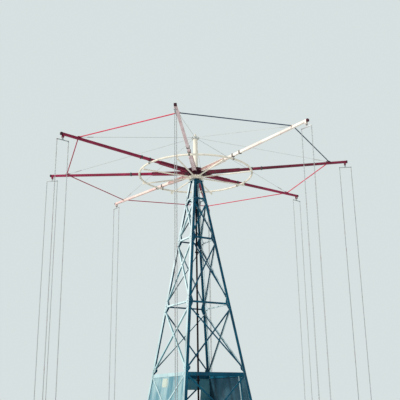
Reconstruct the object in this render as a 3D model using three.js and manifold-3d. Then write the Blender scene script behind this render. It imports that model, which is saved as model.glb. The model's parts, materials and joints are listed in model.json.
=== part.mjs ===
// Chair swing ride: a tapering lattice tower of angle iron, a rotor of eight radial arms on its
// head, and eight chairs that hang on long chains from the arm tips.
// Millimetres, +Z up. The origin is the middle of the tower's base, at ground level.
import * as THREE from 'three';
import { mergeVertices } from 'three/addons/utils/BufferGeometryUtils.js';
import Module from 'manifold-3d';

const wasm = await Module();
wasm.setup();

// Driving dimensions of the tower
const BASE_HALF = 1700; // half the side of the tower's square plan at the ground
const HEAD_HALF = 200; // half its side under the head plate
const HEAD_Z = 10464; // underside of the head plate
const LEG_WIDTH = 120; // flange of a leg angle
const LEG_THICK = 10;
const LEVELS = [2630, 5305, 7950, 9670]; // heights of the horizontals
const FIT = 0.3; // gap left between two pieces that touch
const PAST = 10; // how far a cut runs past what it cuts
const LET_IN = 1; // how deep a piece is let into the one it is welded to

// Driving dimensions of the rotor
const ARM_COUNT = 8;
const ARM_TURN = THREE.MathUtils.degToRad(8.07); // how far the rotor stands turned
const ARM_Z = 11030; // centre line of the arms over the chairs' pins
const ARM_RISE = 0.029; // how much an arm climbs outwards per unit of length
const ARM_ROOT_R = 470;
const ARM_TIP_R = 6290;
const TIE_R = 5560; // radius of the tie rods' corners
const RING_R = 2360; // radius of the ring under the arms
const RING_Z = 10770;
const SPOKE_Z = 10650; // the ring's spokes lie lower than the ring
const SPOKE_TURN = THREE.MathUtils.degToRad(-11.5); // and stand turned against the arms

// Driving dimensions of a chair
const PIVOT_R = 6190; // pin that a chair's yoke swings on
const PIVOT_Z = 10900;
const CHAIN_HALF = 230; // the two chains hang this far inside and outside the pivot
const SEAT_TOP_Z = 560; // seat pan's top over the ground at rest

const SLOPE = (BASE_HALF - HEAD_HALF) / HEAD_Z; // how much a face leans in per unit of height
const FACE_STRETCH = Math.hypot(1, SLOPE); // length up a leaning face per unit of height
const STEP = (2 * Math.PI) / ARM_COUNT;

const PAINT = {
  tower: { color: 0x1f5f7a, roughness: 0.62, metalness: 0.1 },
  sheet: { color: 0x8fbcc4, roughness: 0.75, metalness: 0.05 },
  maroon: { color: 0x3a1020, roughness: 0.6, metalness: 0.1 },
  crimson: { color: 0x9c1d3c, roughness: 0.5, metalness: 0.1 },
  rose: { color: 0xd9a79b, roughness: 0.6, metalness: 0.05 },
  cream: { color: 0xeee2c4, roughness: 0.55, metalness: 0.05 },
  slate: { color: 0x4a5361, roughness: 0.55, metalness: 0.3 },
  chain: { color: 0x8d8f90, roughness: 0.45, metalness: 0.8 },
  green: { color: 0x3f8a63, roughness: 0.5, metalness: 0.05 },
};

// Solids

// A manifold solid made from a three.js geometry
function solid(geometry) {
  const bare = geometry.clone();
  bare.deleteAttribute('normal');
  bare.deleteAttribute('uv');
  const merged = mergeVertices(bare, 1e-3);
  return new wasm.Manifold(new wasm.Mesh({
    numProp: 3,
    vertProperties: new Float32Array(merged.attributes.position.array),
    triVerts: new Uint32Array(merged.index.array),
  }));
}

// The three.js geometry of a manifold solid
function geometryOf(body) {
  const mesh = body.getMesh();
  const geometry = new THREE.BufferGeometry();
  geometry.setAttribute('position', new THREE.BufferAttribute(new Float32Array(mesh.vertProperties), 3));
  geometry.setIndex(new THREE.BufferAttribute(new Uint32Array(mesh.triVerts), 1));
  return geometry;
}

// One geometry joined from several, less the ones to cut away
function fuse(parts, cuts = []) {
  let body = solid(parts[0]);
  for (const part of parts.slice(1)) {
    body = body.add(solid(part));
  }
  for (const cut of cuts) {
    body = body.subtract(solid(cut));
  }
  return geometryOf(body);
}

// A box between its lowest and highest corners
function box(low, high) {
  const size = high.map((value, i) => value - low[i]);
  const geometry = new THREE.BoxGeometry(...size);
  geometry.translate(...low.map((value, i) => value + size[i] / 2));
  return geometry;
}

// A bar along X whose section changes evenly from its near end to its far end; each end gives its x
// and the lowest and highest y and z of its section
function taperedBar(near, far) {
  const bar = box([near.x, 0, 0], [far.x, 1, 1]);
  const place = bar.attributes.position;
  const middle = (near.x + far.x) / 2;
  for (let i = 0; i < place.count; i += 1) {
    const end = place.getX(i) < middle ? near : far;
    place.setY(i, end.y[Math.round(place.getY(i))]);
    place.setZ(i, end.z[Math.round(place.getZ(i))]);
  }
  return bar;
}

// A pair of boxes, alike on both sides of the plane y = 0; "inner" and "outer" are distances from it
function boxPair([lowX, lowZ], [highX, highZ], inner, outer) {
  return [
    box([lowX, inner, lowZ], [highX, outer, highZ]),
    box([lowX, -outer, lowZ], [highX, -inner, highZ]),
  ];
}

// An upright cylinder between two heights
function drum(radius, bottom, top, sides = 32) {
  const geometry = new THREE.CylinderGeometry(radius, radius, top - bottom, sides);
  geometry.rotateX(Math.PI / 2);
  geometry.translate(0, 0, (top + bottom) / 2);
  return geometry;
}

// A flat shape from its corner points
function outline(points) {
  return new THREE.Shape(points.map(([x, y]) => new THREE.Vector2(x, y)));
}

// A regular section of the given radius
function roundSection(radius, sides) {
  const turn = (2 * Math.PI) / sides;
  return outline(Array.from({ length: sides }, (_, i) => [
    radius * Math.cos((i + 0.5) * turn),
    radius * Math.sin((i + 0.5) * turn),
  ]));
}

// A straight prism of a section from one point to another; the section's y follows "up"
function prism(section, from, to, up) {
  const start = new THREE.Vector3(...from);
  const run = new THREE.Vector3(...to).sub(start);
  const along = run.clone().normalize();
  const across = new THREE.Vector3(...up).cross(along).normalize();
  const raised = along.clone().cross(across);
  const geometry = new THREE.ExtrudeGeometry(section, { depth: run.length(), bevelEnabled: false });
  geometry.applyMatrix4(new THREE.Matrix4().makeBasis(across, raised, along).setPosition(start));
  return geometry;
}

// A round rod between two points
function rod(radius, from, to, sides = 8, up = [0, 0, 1]) {
  return prism(roundSection(radius, sides), from, to, up);
}

// A rod whose end faces stay upright and square to X, so that it butts against upright faces
function buttedRod(radius, from, to, sides = 8) {
  const run = to[0] - from[0];
  const geometry = prism(roundSection(radius, sides), [0, 0, 0], [run, 0, 0], [0, 0, 1]);
  const lean = new THREE.Matrix4().makeShear(0, (to[2] - from[2]) / run, 0, 0, 0, 0);
  geometry.applyMatrix4(lean);
  geometry.translate(...from);
  return geometry;
}

const root = new THREE.Group();

// A named mesh in a group, turned about the upright axis
function piece(name, geometry, paint, turn = 0, parent = root) {
  const finish = new THREE.MeshStandardMaterial({ ...PAINT[paint], flatShading: true });
  const mesh = new THREE.Mesh(geometry, finish);
  mesh.name = name;
  mesh.rotation.z = turn;
  parent.add(mesh);
}

// Tower

// Half the tower's side at a height
function halfAt(z) {
  return BASE_HALF - SLOPE * z;
}

// A leg angle with its heel at the corner where x and y are greatest, on a square foot plate
function legGeometry() {
  const footThick = 20;
  const footHalf = 130;
  const weld = 5; // how deep the leg stands in its foot plate
  const inner = BASE_HALF - LEG_WIDTH;
  const web = BASE_HALF - LEG_THICK;
  const angle = outline([
    [BASE_HALF, BASE_HALF],
    [inner, BASE_HALF],
    [inner, web],
    [web, web],
    [web, inner],
    [BASE_HALF, inner],
  ]);
  const bottom = footThick - weld;
  const leg = new THREE.ExtrudeGeometry(angle, { depth: HEAD_Z - FIT - bottom, bevelEnabled: false });
  leg.translate(0, 0, bottom);
  leg.applyMatrix4(new THREE.Matrix4().set(
    1, 0, -SLOPE, 0,
    0, 1, -SLOPE, 0,
    0, 0, 1, 0,
    0, 0, 0, 1,
  ));
  const middle = BASE_HALF - LEG_WIDTH / 2;
  const foot = box(
    [middle - footHalf, middle - footHalf, 0],
    [middle + footHalf, middle + footHalf, footThick],
  );
  return fuse([leg, foot]);
}

// Faces are drawn flat: x across the face, y up its slope and z outwards from the legs' outer side
const FACE_PLANE = new THREE.Matrix4().makeBasis(
  new THREE.Vector3(1, 0, 0),
  new THREE.Vector3(0, SLOPE, 1).normalize(),
  new THREE.Vector3(0, -1, SLOPE).normalize(),
).setPosition(0, -BASE_HALF, 0);

const BEHIND_LEG = -(LEG_THICK + FIT); // where the bracing bears on the legs' inner side
const CORNER_CLEAR = 76; // bars stop this far from the corner, clear of the next face's bars
const GUSSET_CLEAR = 22;

// Distance up a face for a height
function up(z) {
  return z * FACE_STRETCH;
}

// An angle bar lying flat behind the legs, its other flange pointing into the tower
function angleBar(from, to, width, thick) {
  const half = width / 2;
  const back = BEHIND_LEG - thick;
  const section = outline([
    [half, BEHIND_LEG],
    [-half, BEHIND_LEG],
    [-half, BEHIND_LEG - width],
    [thick - half, BEHIND_LEG - width],
    [thick - half, back],
    [half, back],
  ]);
  return prism(section, [...from, 0], [...to, 0], [0, 0, 1]);
}

// A flat bar behind the legs
function flatBar(from, to, width, thick) {
  const half = width / 2;
  const section = outline([
    [half, BEHIND_LEG],
    [-half, BEHIND_LEG],
    [-half, BEHIND_LEG - thick],
    [half, BEHIND_LEG - thick],
  ]);
  return prism(section, [...from, 0], [...to, 0], [0, 0, 1]);
}

// The long plate behind a leg that the ends of the bars are riveted to, widest around its height z
function gusset(z, side, under, over, thick) {
  const middle = up(z);
  const endWidth = 95;
  const middleWidth = 175;
  const middleHalf = 55;
  const edge = (offset) => halfAt(z + offset) - GUSSET_CLEAR;
  const plate = outline([
    [side * edge(-under), middle - under],
    [side * edge(over), middle + over],
    [side * (edge(over) - endWidth), middle + over],
    [side * (edge(middleHalf) - middleWidth), middle + Math.min(middleHalf, over)],
    [side * (edge(-middleHalf) - middleWidth), middle - Math.min(middleHalf, under)],
    [side * (edge(-under) - endWidth), middle - under],
  ]);
  const geometry = new THREE.ExtrudeGeometry(plate, { depth: thick, bevelEnabled: false });
  geometry.translate(0, 0, BEHIND_LEG - thick);
  return geometry;
}

// Horizontals and crossed diagonals of the three bays over the bottom one
function latticeGeometry() {
  const diagonal = 60;
  const horizontal = 60;
  const thick = 7;
  const lapToBar = 225; // diagonals start this far over and stop this far under a horizontal's middle
  const pastBar = 40; // a gusset runs this far past the middle of a diagonal's end
  const gussets = [
    { z: LEVELS[0] + lapToBar, under: 130, over: pastBar },
    { z: LEVELS[1], under: lapToBar + pastBar, over: lapToBar + pastBar },
    { z: LEVELS[2], under: lapToBar + pastBar, over: lapToBar + pastBar },
    { z: LEVELS[3], under: lapToBar + pastBar, over: pastBar },
  ];
  const bars = [];
  LEVELS.forEach((z, i) => {
    if (i > 0) {
      const reach = halfAt(z) - CORNER_CLEAR;
      bars.push(angleBar([-reach, up(z)], [reach, up(z)], horizontal, thick));
    }
    if (i + 1 < LEVELS.length) {
      const low = z + lapToBar;
      const high = LEVELS[i + 1] - lapToBar;
      for (const side of [-1, 1]) {
        bars.push(angleBar(
          [side * (halfAt(low) - CORNER_CLEAR), up(low)],
          [-side * (halfAt(high) - CORNER_CLEAR), up(high)],
          diagonal,
          thick,
        ));
      }
    }
  });
  for (const { z, under, over } of gussets) {
    bars.push(gusset(z, -1, under, over, thick), gusset(z, 1, under, over, thick));
  }
  return fuse(bars).applyMatrix4(FACE_PLANE);
}

// Bottom bay: a deep rail at its top, a sill angle at its foot and crossed flat bars between
const RAIL_DEPTH = 130;
const SILL_LOW = 40;
const SILL_WIDTH = 80;
const PLATE_THICK = 8;

function bottomBayGeometry() {
  const railFlange = 50;
  const barWidth = 64;
  const sillClear = CORNER_CLEAR + 10;
  const footClear = CORNER_CLEAR + 30;
  const railMiddle = up(LEVELS[0]);
  const railReach = halfAt(LEVELS[0]) - CORNER_CLEAR;
  const railHalf = RAIL_DEPTH / 2;
  const back = BEHIND_LEG - PLATE_THICK;
  const channel = outline([
    [railHalf, BEHIND_LEG],
    [-railHalf, BEHIND_LEG],
    [-railHalf, BEHIND_LEG - railFlange],
    [PLATE_THICK - railHalf, BEHIND_LEG - railFlange],
    [PLATE_THICK - railHalf, back],
    [railHalf - PLATE_THICK, back],
    [railHalf - PLATE_THICK, BEHIND_LEG - railFlange],
    [railHalf, BEHIND_LEG - railFlange],
  ]);
  const rail = prism(channel, [-railReach, railMiddle, 0], [railReach, railMiddle, 0], [0, 0, 1]);
  const sillMiddle = up(SILL_LOW) + SILL_WIDTH / 2;
  const sillReach = halfAt(SILL_LOW + SILL_WIDTH) - sillClear;
  const sill = angleBar([-sillReach, sillMiddle], [sillReach, sillMiddle], SILL_WIDTH, PLATE_THICK);
  const low = SILL_LOW + SILL_WIDTH / 2;
  const high = LEVELS[0] - railHalf / 2;
  const crossed = [-1, 1].map((side) => flatBar(
    [side * (halfAt(low) - footClear), up(low)],
    [-side * (halfAt(high) - CORNER_CLEAR), up(high)],
    barWidth,
    PLATE_THICK,
  ));
  return fuse([rail, sill, ...crossed]).applyMatrix4(FACE_PLANE);
}

// Sheet iron behind the crossed bars of the bottom bay, with an optional gap in it
const SHEET_THICK = 3;
const SHEET_CLEAR = 30; // sheets stop this far from the corner
const REAR_GAP = { left: -950, right: -150, top: 2150 };

function sheetGeometry(gap) {
  const bottom = up(SILL_LOW) + PLATE_THICK + FIT;
  const top = up(LEVELS[0]) - RAIL_DEPTH / 2 - FIT;
  const edge = (y) => halfAt(y / FACE_STRETCH) - SHEET_CLEAR;
  const corners = [[-edge(bottom), bottom]];
  if (gap) {
    corners.push([gap.left, bottom], [gap.left, gap.top], [gap.right, gap.top], [gap.right, bottom]);
  }
  corners.push([edge(bottom), bottom], [edge(top), top], [-edge(top), top]);
  const geometry = new THREE.ExtrudeGeometry(outline(corners), { depth: SHEET_THICK, bevelEnabled: false });
  geometry.translate(0, 0, BEHIND_LEG - PLATE_THICK - 2 * FIT - SHEET_THICK);
  return geometry.applyMatrix4(FACE_PLANE);
}

// Square post behind the open side's bars, from the sill up to the rail
function entryPostGeometry() {
  const size = 60;
  const across = 1030;
  const front = BEHIND_LEG - PLATE_THICK - FIT;
  const bottom = up(SILL_LOW) + PLATE_THICK + FIT;
  const top = up(LEVELS[0]) - RAIL_DEPTH / 2 - FIT;
  return box(
    [across - size / 2, bottom, front - size],
    [across + size / 2, top, front],
  ).applyMatrix4(FACE_PLANE);
}

// Head plate with the bearing housing on it, bored for the drive shaft
const HEAD_THICK = 16;
const HOUSING_TOP = 10560;
const SHAFT_R = 36;

function headGeometry() {
  const plateHalf = HEAD_HALF + 38;
  const housingR = 150;
  const boreR = SHAFT_R + 8;
  const plateTop = HEAD_Z + HEAD_THICK;
  const plate = box([-plateHalf, -plateHalf, HEAD_Z], [plateHalf, plateHalf, plateTop]);
  const housing = drum(housingR, plateTop - LET_IN, HOUSING_TOP, 24);
  const bore = drum(boreR, HEAD_Z - PAST, HOUSING_TOP + PAST, 24);
  return fuse([plate, housing], [bore]);
}

// Cross beam between two sills, with the foot bearing that carries the shaft
const FOOT_TOP = 210;

function footBearingGeometry() {
  const beamHalfWidth = 75;
  const beamTop = 150;
  const bearingR = 95;
  const sillClear = 20;
  const reach = halfAt(SILL_LOW) - LEG_THICK - SILL_WIDTH - sillClear;
  const beam = box([-reach, -beamHalfWidth, 0], [reach, beamHalfWidth, beamTop]);
  const bearing = drum(bearingR, beamTop - LET_IN, FOOT_TOP, 24);
  return fuse([beam, bearing]);
}

for (let corner = 0; corner < 4; corner += 1) {
  piece(`leg_${corner + 1}`, legGeometry(), 'tower', corner * (Math.PI / 2));
}
const SIDES = ['front', 'right', 'rear', 'left'];
SIDES.forEach((side, i) => {
  const turn = i * (Math.PI / 2);
  piece(`lattice_${side}`, latticeGeometry(), 'tower', turn);
  piece(`bottom_bracing_${side}`, bottomBayGeometry(), 'tower', turn);
  if (side !== 'front') {
    piece(`sheeting_${side}`, sheetGeometry(side === 'rear' ? REAR_GAP : null), 'sheet', turn);
  }
});
piece('entry_post', entryPostGeometry(), 'tower');
piece('tower_head', headGeometry(), 'tower');
piece('foot_bearing', footBearingGeometry(), 'tower');

// Rotor

const rotor = new THREE.Group();
rotor.rotation.z = ARM_TURN;
root.add(rotor);

const DRUM_R = 280;
const HUB_LOW = 10700;
const HUB_TOP = 11000;
const STUB_HALF_WIDTH = 80;
const STUB_HALF_HEIGHT = 72;

// Height of an arm's centre line at a radius
function armZ(radius) {
  return ARM_Z + ARM_RISE * (radius - PIVOT_R);
}

// Eight-sided hub with a round flange above and below and a socket stub for each arm
function hubGeometry() {
  const flatR = 310; // from the axis to a flat of the eight-sided block
  const flangeR = 345;
  const flangeThick = 24;
  const stubStart = flatR - 20;
  const block = drum(flatR / Math.cos(STEP / 2), HUB_LOW + LET_IN, HUB_TOP - LET_IN, ARM_COUNT);
  block.rotateZ(STEP / 2);
  const stubZ = armZ(ARM_ROOT_R);
  const stubs = Array.from({ length: ARM_COUNT }, (_, i) => box(
    [stubStart, -STUB_HALF_WIDTH, stubZ - STUB_HALF_HEIGHT],
    [ARM_ROOT_R - FIT, STUB_HALF_WIDTH, stubZ + STUB_HALF_HEIGHT],
  ).rotateZ(i * STEP));
  const lower = drum(flangeR, HUB_LOW, HUB_LOW + flangeThick, 24);
  const upper = drum(flangeR, HUB_TOP - flangeThick, HUB_TOP, 24);
  return fuse([block, lower, upper, ...stubs]);
}

// Arm along +X: a tapering box beam between two channels at its root, with clamps, a lug for its
// stay, a cleat for the tie rods and two ears with a pin at the tip for the chair
const ROSE_ARMS = [3, 6, 7]; // faded to a pale rose, while the others are still crimson
const ARM_ROOT = { width: 116, height: 106 };
const ARM_TIP = { width: 92, height: 86 };

// Width and height of an arm at a radius
function armAt(radius) {
  const part = (radius - ARM_ROOT_R) / (ARM_TIP_R - ARM_ROOT_R);
  return {
    width: THREE.MathUtils.lerp(ARM_ROOT.width, ARM_TIP.width, part),
    height: THREE.MathUtils.lerp(ARM_ROOT.height, ARM_TIP.height, part),
  };
}

// What lies along an arm is drawn level about z = 0, and this lifts it to the climbing centre line
const ARM_LIFT = new THREE.Matrix4().set(
  1, 0, 0, 0,
  0, 1, 0, 0,
  ARM_RISE, 0, 1, armZ(0),
  0, 0, 0, 1,
);

function armBeam() {
  const [near, far] = [ARM_ROOT_R, ARM_TIP_R].map((x) => {
    const { width, height } = armAt(x);
    return { x, y: [-width / 2, width / 2], z: [-height / 2, height / 2] };
  });
  return taperedBar(near, far);
}

// The two channels beside an arm's root, narrowing outwards to the plate across their ends
const CHANNEL_END = 1850;
const CHANNEL_TIP_HALF = 56; // half a channel's depth at its outer end

function rootChannels() {
  const webHalf = 66;
  const flangeThick = 14;
  const endPlate = { thick: 12, halfHeight: CHANNEL_TIP_HALF + 4 };
  const parts = [box(
    [CHANNEL_END - endPlate.thick, -STUB_HALF_WIDTH, -endPlate.halfHeight],
    [CHANNEL_END, STUB_HALF_WIDTH, endPlate.halfHeight],
  )];
  const ends = [[ARM_ROOT_R, STUB_HALF_HEIGHT], [CHANNEL_END - LET_IN, CHANNEL_TIP_HALF]];
  for (const side of [-1, 1]) {
    const strip = (outer, heights) => {
      const [near, far] = ends.map(([x, half]) => {
        const inner = armAt(x).width / 2 - LET_IN;
        return { x, y: side > 0 ? [inner, outer] : [-outer, -inner], z: heights(half) };
      });
      return taperedBar(near, far);
    };
    parts.push(
      strip(webHalf, (half) => [-half, half]),
      strip(STUB_HALF_WIDTH, (half) => [half - flangeThick, half]),
      strip(STUB_HALF_WIDTH, (half) => [-half, flangeThick - half]),
    );
  }
  return parts;
}

const CLAMP_RADII = [RING_R, 2760];
const CLAMP_LENGTH = 60;
const CLAMP_THICK = 12;
const PIN_R = 11;
const PIN_SIDES = 12;
const EAR_GAP = 38; // half the space between the two ears
const EAR_THICK = 12;
const STAY_LUG = { inner: 5440, outer: 5520, halfWidth: 10, height: 70 };
const LUG_TOP = ARM_TIP.height / 2 + STAY_LUG.height; // over the arm's centre line
const TIE_LIFT = 50; // the tie rods lie this far over the arms' centre lines
const TIE_ROD_R = 20;
const TIE_CLEAT = { halfLength: 44, over: 6 }; // block on an arm that its two tie rods end against

function armGeometry() {
  const clamps = CLAMP_RADII.map((radius) => {
    const { width, height } = armAt(radius - CLAMP_LENGTH / 2);
    return box(
      [radius - CLAMP_LENGTH / 2, -width / 2 - CLAMP_THICK, -height / 2 - CLAMP_THICK],
      [radius + CLAMP_LENGTH / 2, width / 2 + CLAMP_THICK, height / 2 + CLAMP_THICK],
    );
  });
  const lug = box([STAY_LUG.inner, -STAY_LUG.halfWidth, 0], [STAY_LUG.outer, STAY_LUG.halfWidth, LUG_TOP]);
  const cleatHalf = armAt(TIE_R + TIE_CLEAT.halfLength).width / 2;
  const cleat = box(
    [TIE_R - TIE_CLEAT.halfLength, -cleatHalf, 0],
    [TIE_R + TIE_CLEAT.halfLength, cleatHalf, TIE_LIFT + TIE_ROD_R + TIE_CLEAT.over],
  );
  const along = [armBeam(), ...rootChannels(), ...clamps, lug, cleat];
  const earHalf = 32;
  const ears = boxPair(
    [PIVOT_R - earHalf, PIVOT_Z - earHalf],
    [PIVOT_R + earHalf, ARM_Z],
    EAR_GAP,
    EAR_GAP + EAR_THICK,
  );
  const pinHalf = EAR_GAP + EAR_THICK + 12;
  const pin = rod(PIN_R, [PIVOT_R, -pinHalf, PIVOT_Z], [PIVOT_R, pinHalf, PIVOT_Z], PIN_SIDES);
  return fuse([...along.map((part) => part.applyMatrix4(ARM_LIFT)), ...ears, pin]);
}

// Tie rod from one arm to the next, cut off flush with their sides; two of them are grey-blue
const SLATE_TIES = [6, 7];

function tieGeometry() {
  const tieZ = armZ(TIE_R) + TIE_LIFT;
  const near = TIE_R - 1500; // the wedge between two arms that the rod is cut with
  const far = TIE_R + 750;
  const wedgeHalf = 100;
  const side = (radius, turn, way) => {
    const offset = way * (armAt(radius).width / 2 + FIT);
    return [
      radius * Math.cos(turn) - offset * Math.sin(turn),
      radius * Math.sin(turn) + offset * Math.cos(turn),
    ];
  };
  const between = outline([side(near, 0, 1), side(far, 0, 1), side(far, STEP, -1), side(near, STEP, -1)]);
  const wedge = new THREE.ExtrudeGeometry(between, { depth: 2 * wedgeHalf, bevelEnabled: false });
  wedge.translate(0, 0, tieZ - wedgeHalf);
  const tie = rod(
    TIE_ROD_R,
    [TIE_R, 0, tieZ],
    [TIE_R * Math.cos(STEP), TIE_R * Math.sin(STEP), tieZ],
    10,
  );
  return geometryOf(solid(tie).intersect(solid(wedge)));
}

// Ring of tube under the arms, hung from the arms' inner clamps
const RING_TUBE_R = 38;

function ringTube(extra = 0) {
  const ring = new THREE.TorusGeometry(RING_R, RING_TUBE_R + extra, 6, 48);
  return ring.translate(0, 0, RING_Z);
}

function innerRingGeometry() {
  const hangerHalf = { along: 6, across: 20 };
  const clampLow = -armAt(RING_R - CLAMP_LENGTH / 2).height / 2 - CLAMP_THICK;
  const hangers = Array.from({ length: ARM_COUNT }, (_, i) => box(
    [RING_R - hangerHalf.along, -hangerHalf.across, RING_Z - armZ(RING_R)],
    [RING_R + hangerHalf.along, hangerHalf.across, clampLow - FIT],
  ).applyMatrix4(ARM_LIFT).rotateZ(i * STEP));
  return fuse([ringTube(), ...hangers]);
}

// Collar round the drum with eight spokes, each with an upright link from its end to the ring
function ringSpokesGeometry() {
  const collarR = DRUM_R + 32;
  const collarHalf = 34;
  const spokeR = 28;
  const linkR = 16;
  const collar = drum(collarR, SPOKE_Z - collarHalf, SPOKE_Z + collarHalf, 32);
  const bore = drum(DRUM_R + 2 * FIT, SPOKE_Z - 2 * collarHalf, SPOKE_Z + 2 * collarHalf, 32);
  const parts = [collar];
  for (let i = 0; i < ARM_COUNT; i += 1) {
    const turn = SPOKE_TURN + i * STEP;
    const spoke = rod(spokeR, [DRUM_R + 2, 0, SPOKE_Z], [RING_R + spokeR, 0, SPOKE_Z]);
    const link = rod(linkR, [RING_R, 0, SPOKE_Z], [RING_R, 0, RING_Z], 8, [1, 0, 0]);
    parts.push(spoke.rotateZ(turn), link.rotateZ(turn));
  }
  return fuse(parts, [bore, ringTube(2 * FIT)]);
}

// King post with a collar for the stays and a small finial
const POST_R = 95;
const POST_TOP = 12500; // where the post's side ends and its cap begins
const GROOVE = 4; // depth of the seat that the collar is clamped in
const COLLAR = { radius: 128, low: 12380, top: 12480 };

function kingPostGeometry() {
  const bottom = HUB_TOP + FIT;
  const base = { radius: 150, thick: 24, weld: 36 };
  const cap = { radius: 40, low: POST_TOP + 28, high: POST_TOP + 55 };
  const knob = { radius: 28, low: POST_TOP + 90, high: POST_TOP + 120 };
  const profile = [
    [0, bottom],
    [base.radius, bottom],
    [base.radius, bottom + base.thick],
    [POST_R, bottom + base.thick + base.weld],
    [POST_R, COLLAR.low - FIT],
    [POST_R - GROOVE, COLLAR.low - FIT],
    [POST_R - GROOVE, COLLAR.top + FIT],
    [POST_R, COLLAR.top + FIT],
    [POST_R, POST_TOP],
    [cap.radius, cap.low],
    [cap.radius, cap.high],
    [knob.radius, knob.low],
    [0, knob.high],
  ].map(([x, y]) => new THREE.Vector2(x, y));
  const post = new THREE.LatheGeometry(profile, 24);
  post.rotateX(Math.PI / 2);
  return post;
}

// Collar with its eight stays, each ending against the lug on its arm
function staysGeometry() {
  const stayR = 12;
  const stayStart = COLLAR.radius - 20;
  const collar = drum(COLLAR.radius, COLLAR.low, COLLAR.top, 24);
  const bore = drum(POST_R - GROOVE + 2 * FIT, COLLAR.low - PAST, COLLAR.top + PAST, 24);
  const middle = (COLLAR.low + COLLAR.top) / 2;
  const lugMiddle = armZ(STAY_LUG.inner) + LUG_TOP - 3 * stayR;
  const stays = Array.from({ length: ARM_COUNT }, (_, i) => buttedRod(
    stayR,
    [stayStart, 0, middle],
    [STAY_LUG.inner - FIT, 0, lugMiddle],
    6,
  ).rotateZ(i * STEP));
  return fuse([collar, ...stays], [bore]);
}

piece('drive_shaft', drum(SHAFT_R, FOOT_TOP + FIT, HOUSING_TOP, 16), 'maroon', 0, rotor);
piece('rotor_drum', drum(DRUM_R, HOUSING_TOP + FIT, HUB_LOW - FIT, 32), 'cream', 0, rotor);
piece('hub', hubGeometry(), 'maroon', 0, rotor);
piece('king_post', kingPostGeometry(), 'cream', 0, rotor);
piece('crown_stays', staysGeometry(), 'slate', 0, rotor);
piece('inner_ring', innerRingGeometry(), 'cream', 0, rotor);
piece('ring_spokes', ringSpokesGeometry(), 'cream', 0, rotor);
for (let i = 0; i < ARM_COUNT; i += 1) {
  const number = i + 1;
  const armPaint = ROSE_ARMS.includes(number) ? 'rose' : 'crimson';
  const tiePaint = SLATE_TIES.includes(number) ? 'slate' : 'crimson';
  piece(`arm_${number}`, armGeometry(), armPaint, i * STEP, rotor);
  piece(`tie_rod_${number}`, tieGeometry(), tiePaint, i * STEP, rotor);
}

// Chairs: the rider faces along the circle, so that the two chains hang inside and outside

const YOKE_DROP = 110; // from the pivot to the yoke's bar
const YOKE_HALF = 14;
const CHAIN_R = 9;
const FORK_Z = 1480; // where each chain parts into a front and a rear fall
const FORK_REACH = 185;
const ARMREST_Z = SEAT_TOP_Z + 250;
const ARMREST_R = 14;

function chainsGeometry() {
  const eyeR = 24;
  const eyeHalf = 30;
  const webHalf = { across: 20, along: 8 };
  const barEnd = CHAIN_HALF + 20;
  const link = { across: 12, along: 26, below: 34, above: 14 }; // plate that joins a chain to its falls
  const fallStart = { along: 14, below: 15 };
  const barZ = PIVOT_Z - YOKE_DROP;
  const eye = rod(eyeR, [PIVOT_R, -eyeHalf, PIVOT_Z], [PIVOT_R, eyeHalf, PIVOT_Z], PIN_SIDES);
  const boreR = (PIN_R + FIT) / Math.cos(Math.PI / PIN_SIDES); // the pin's corners clear the bore's flats
  const eyeBore = rod(boreR, [PIVOT_R, -2 * eyeHalf, PIVOT_Z], [PIVOT_R, 2 * eyeHalf, PIVOT_Z], PIN_SIDES);
  const web = box(
    [PIVOT_R - webHalf.across, -webHalf.along, barZ],
    [PIVOT_R + webHalf.across, webHalf.along, PIVOT_Z - (eyeR + PIN_R) / 2],
  );
  const bar = box(
    [PIVOT_R - barEnd, -YOKE_HALF, barZ - YOKE_HALF],
    [PIVOT_R + barEnd, YOKE_HALF, barZ + YOKE_HALF],
  );
  const seatFace = ARMREST_Z + ARMREST_R; // the falls end on top of the arm hoops
  const reachBelow = 10;
  const armRests = box(
    [PIVOT_R - 2 * CHAIN_HALF, -2 * FORK_REACH, seatFace - 2 * reachBelow],
    [PIVOT_R + 2 * CHAIN_HALF, 2 * FORK_REACH, seatFace + FIT],
  );
  const parts = [eye, web, bar];
  for (const side of [-1, 1]) {
    const x = PIVOT_R + side * CHAIN_HALF;
    parts.push(rod(CHAIN_R, [x, 0, barZ], [x, 0, FORK_Z], 6, [1, 0, 0]));
    parts.push(box(
      [x - link.across, -link.along, FORK_Z - link.below],
      [x + link.across, link.along, FORK_Z + link.above],
    ));
    for (const way of [-1, 1]) {
      parts.push(rod(
        CHAIN_R,
        [x, way * fallStart.along, FORK_Z - fallStart.below],
        [x, way * FORK_REACH, seatFace - reachBelow],
        6,
        [1, 0, 0],
      ));
    }
  }
  return fuse(parts, [eyeBore, armRests]);
}

// Moulded seat: pan and back in one bent shell between two arm hoops, with a lap bar in front
const HOOP_WIDTH = 24;
const SEAT_HALF = CHAIN_HALF - HOOP_WIDTH / 2 + 2; // the shell is let 2 mm into its hoops
const SHELL_THICK = 24;

// A side outline, drawn along the circle and upwards, given a width across the chair
function acrossChair(shape, from, width) {
  const geometry = new THREE.ExtrudeGeometry(shape, { depth: width, bevelEnabled: false });
  geometry.applyMatrix4(new THREE.Matrix4().makeBasis(
    new THREE.Vector3(0, 1, 0),
    new THREE.Vector3(0, 0, 1),
    new THREE.Vector3(1, 0, 0),
  ));
  return geometry.translate(PIVOT_R + from, 0, 0);
}

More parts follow.
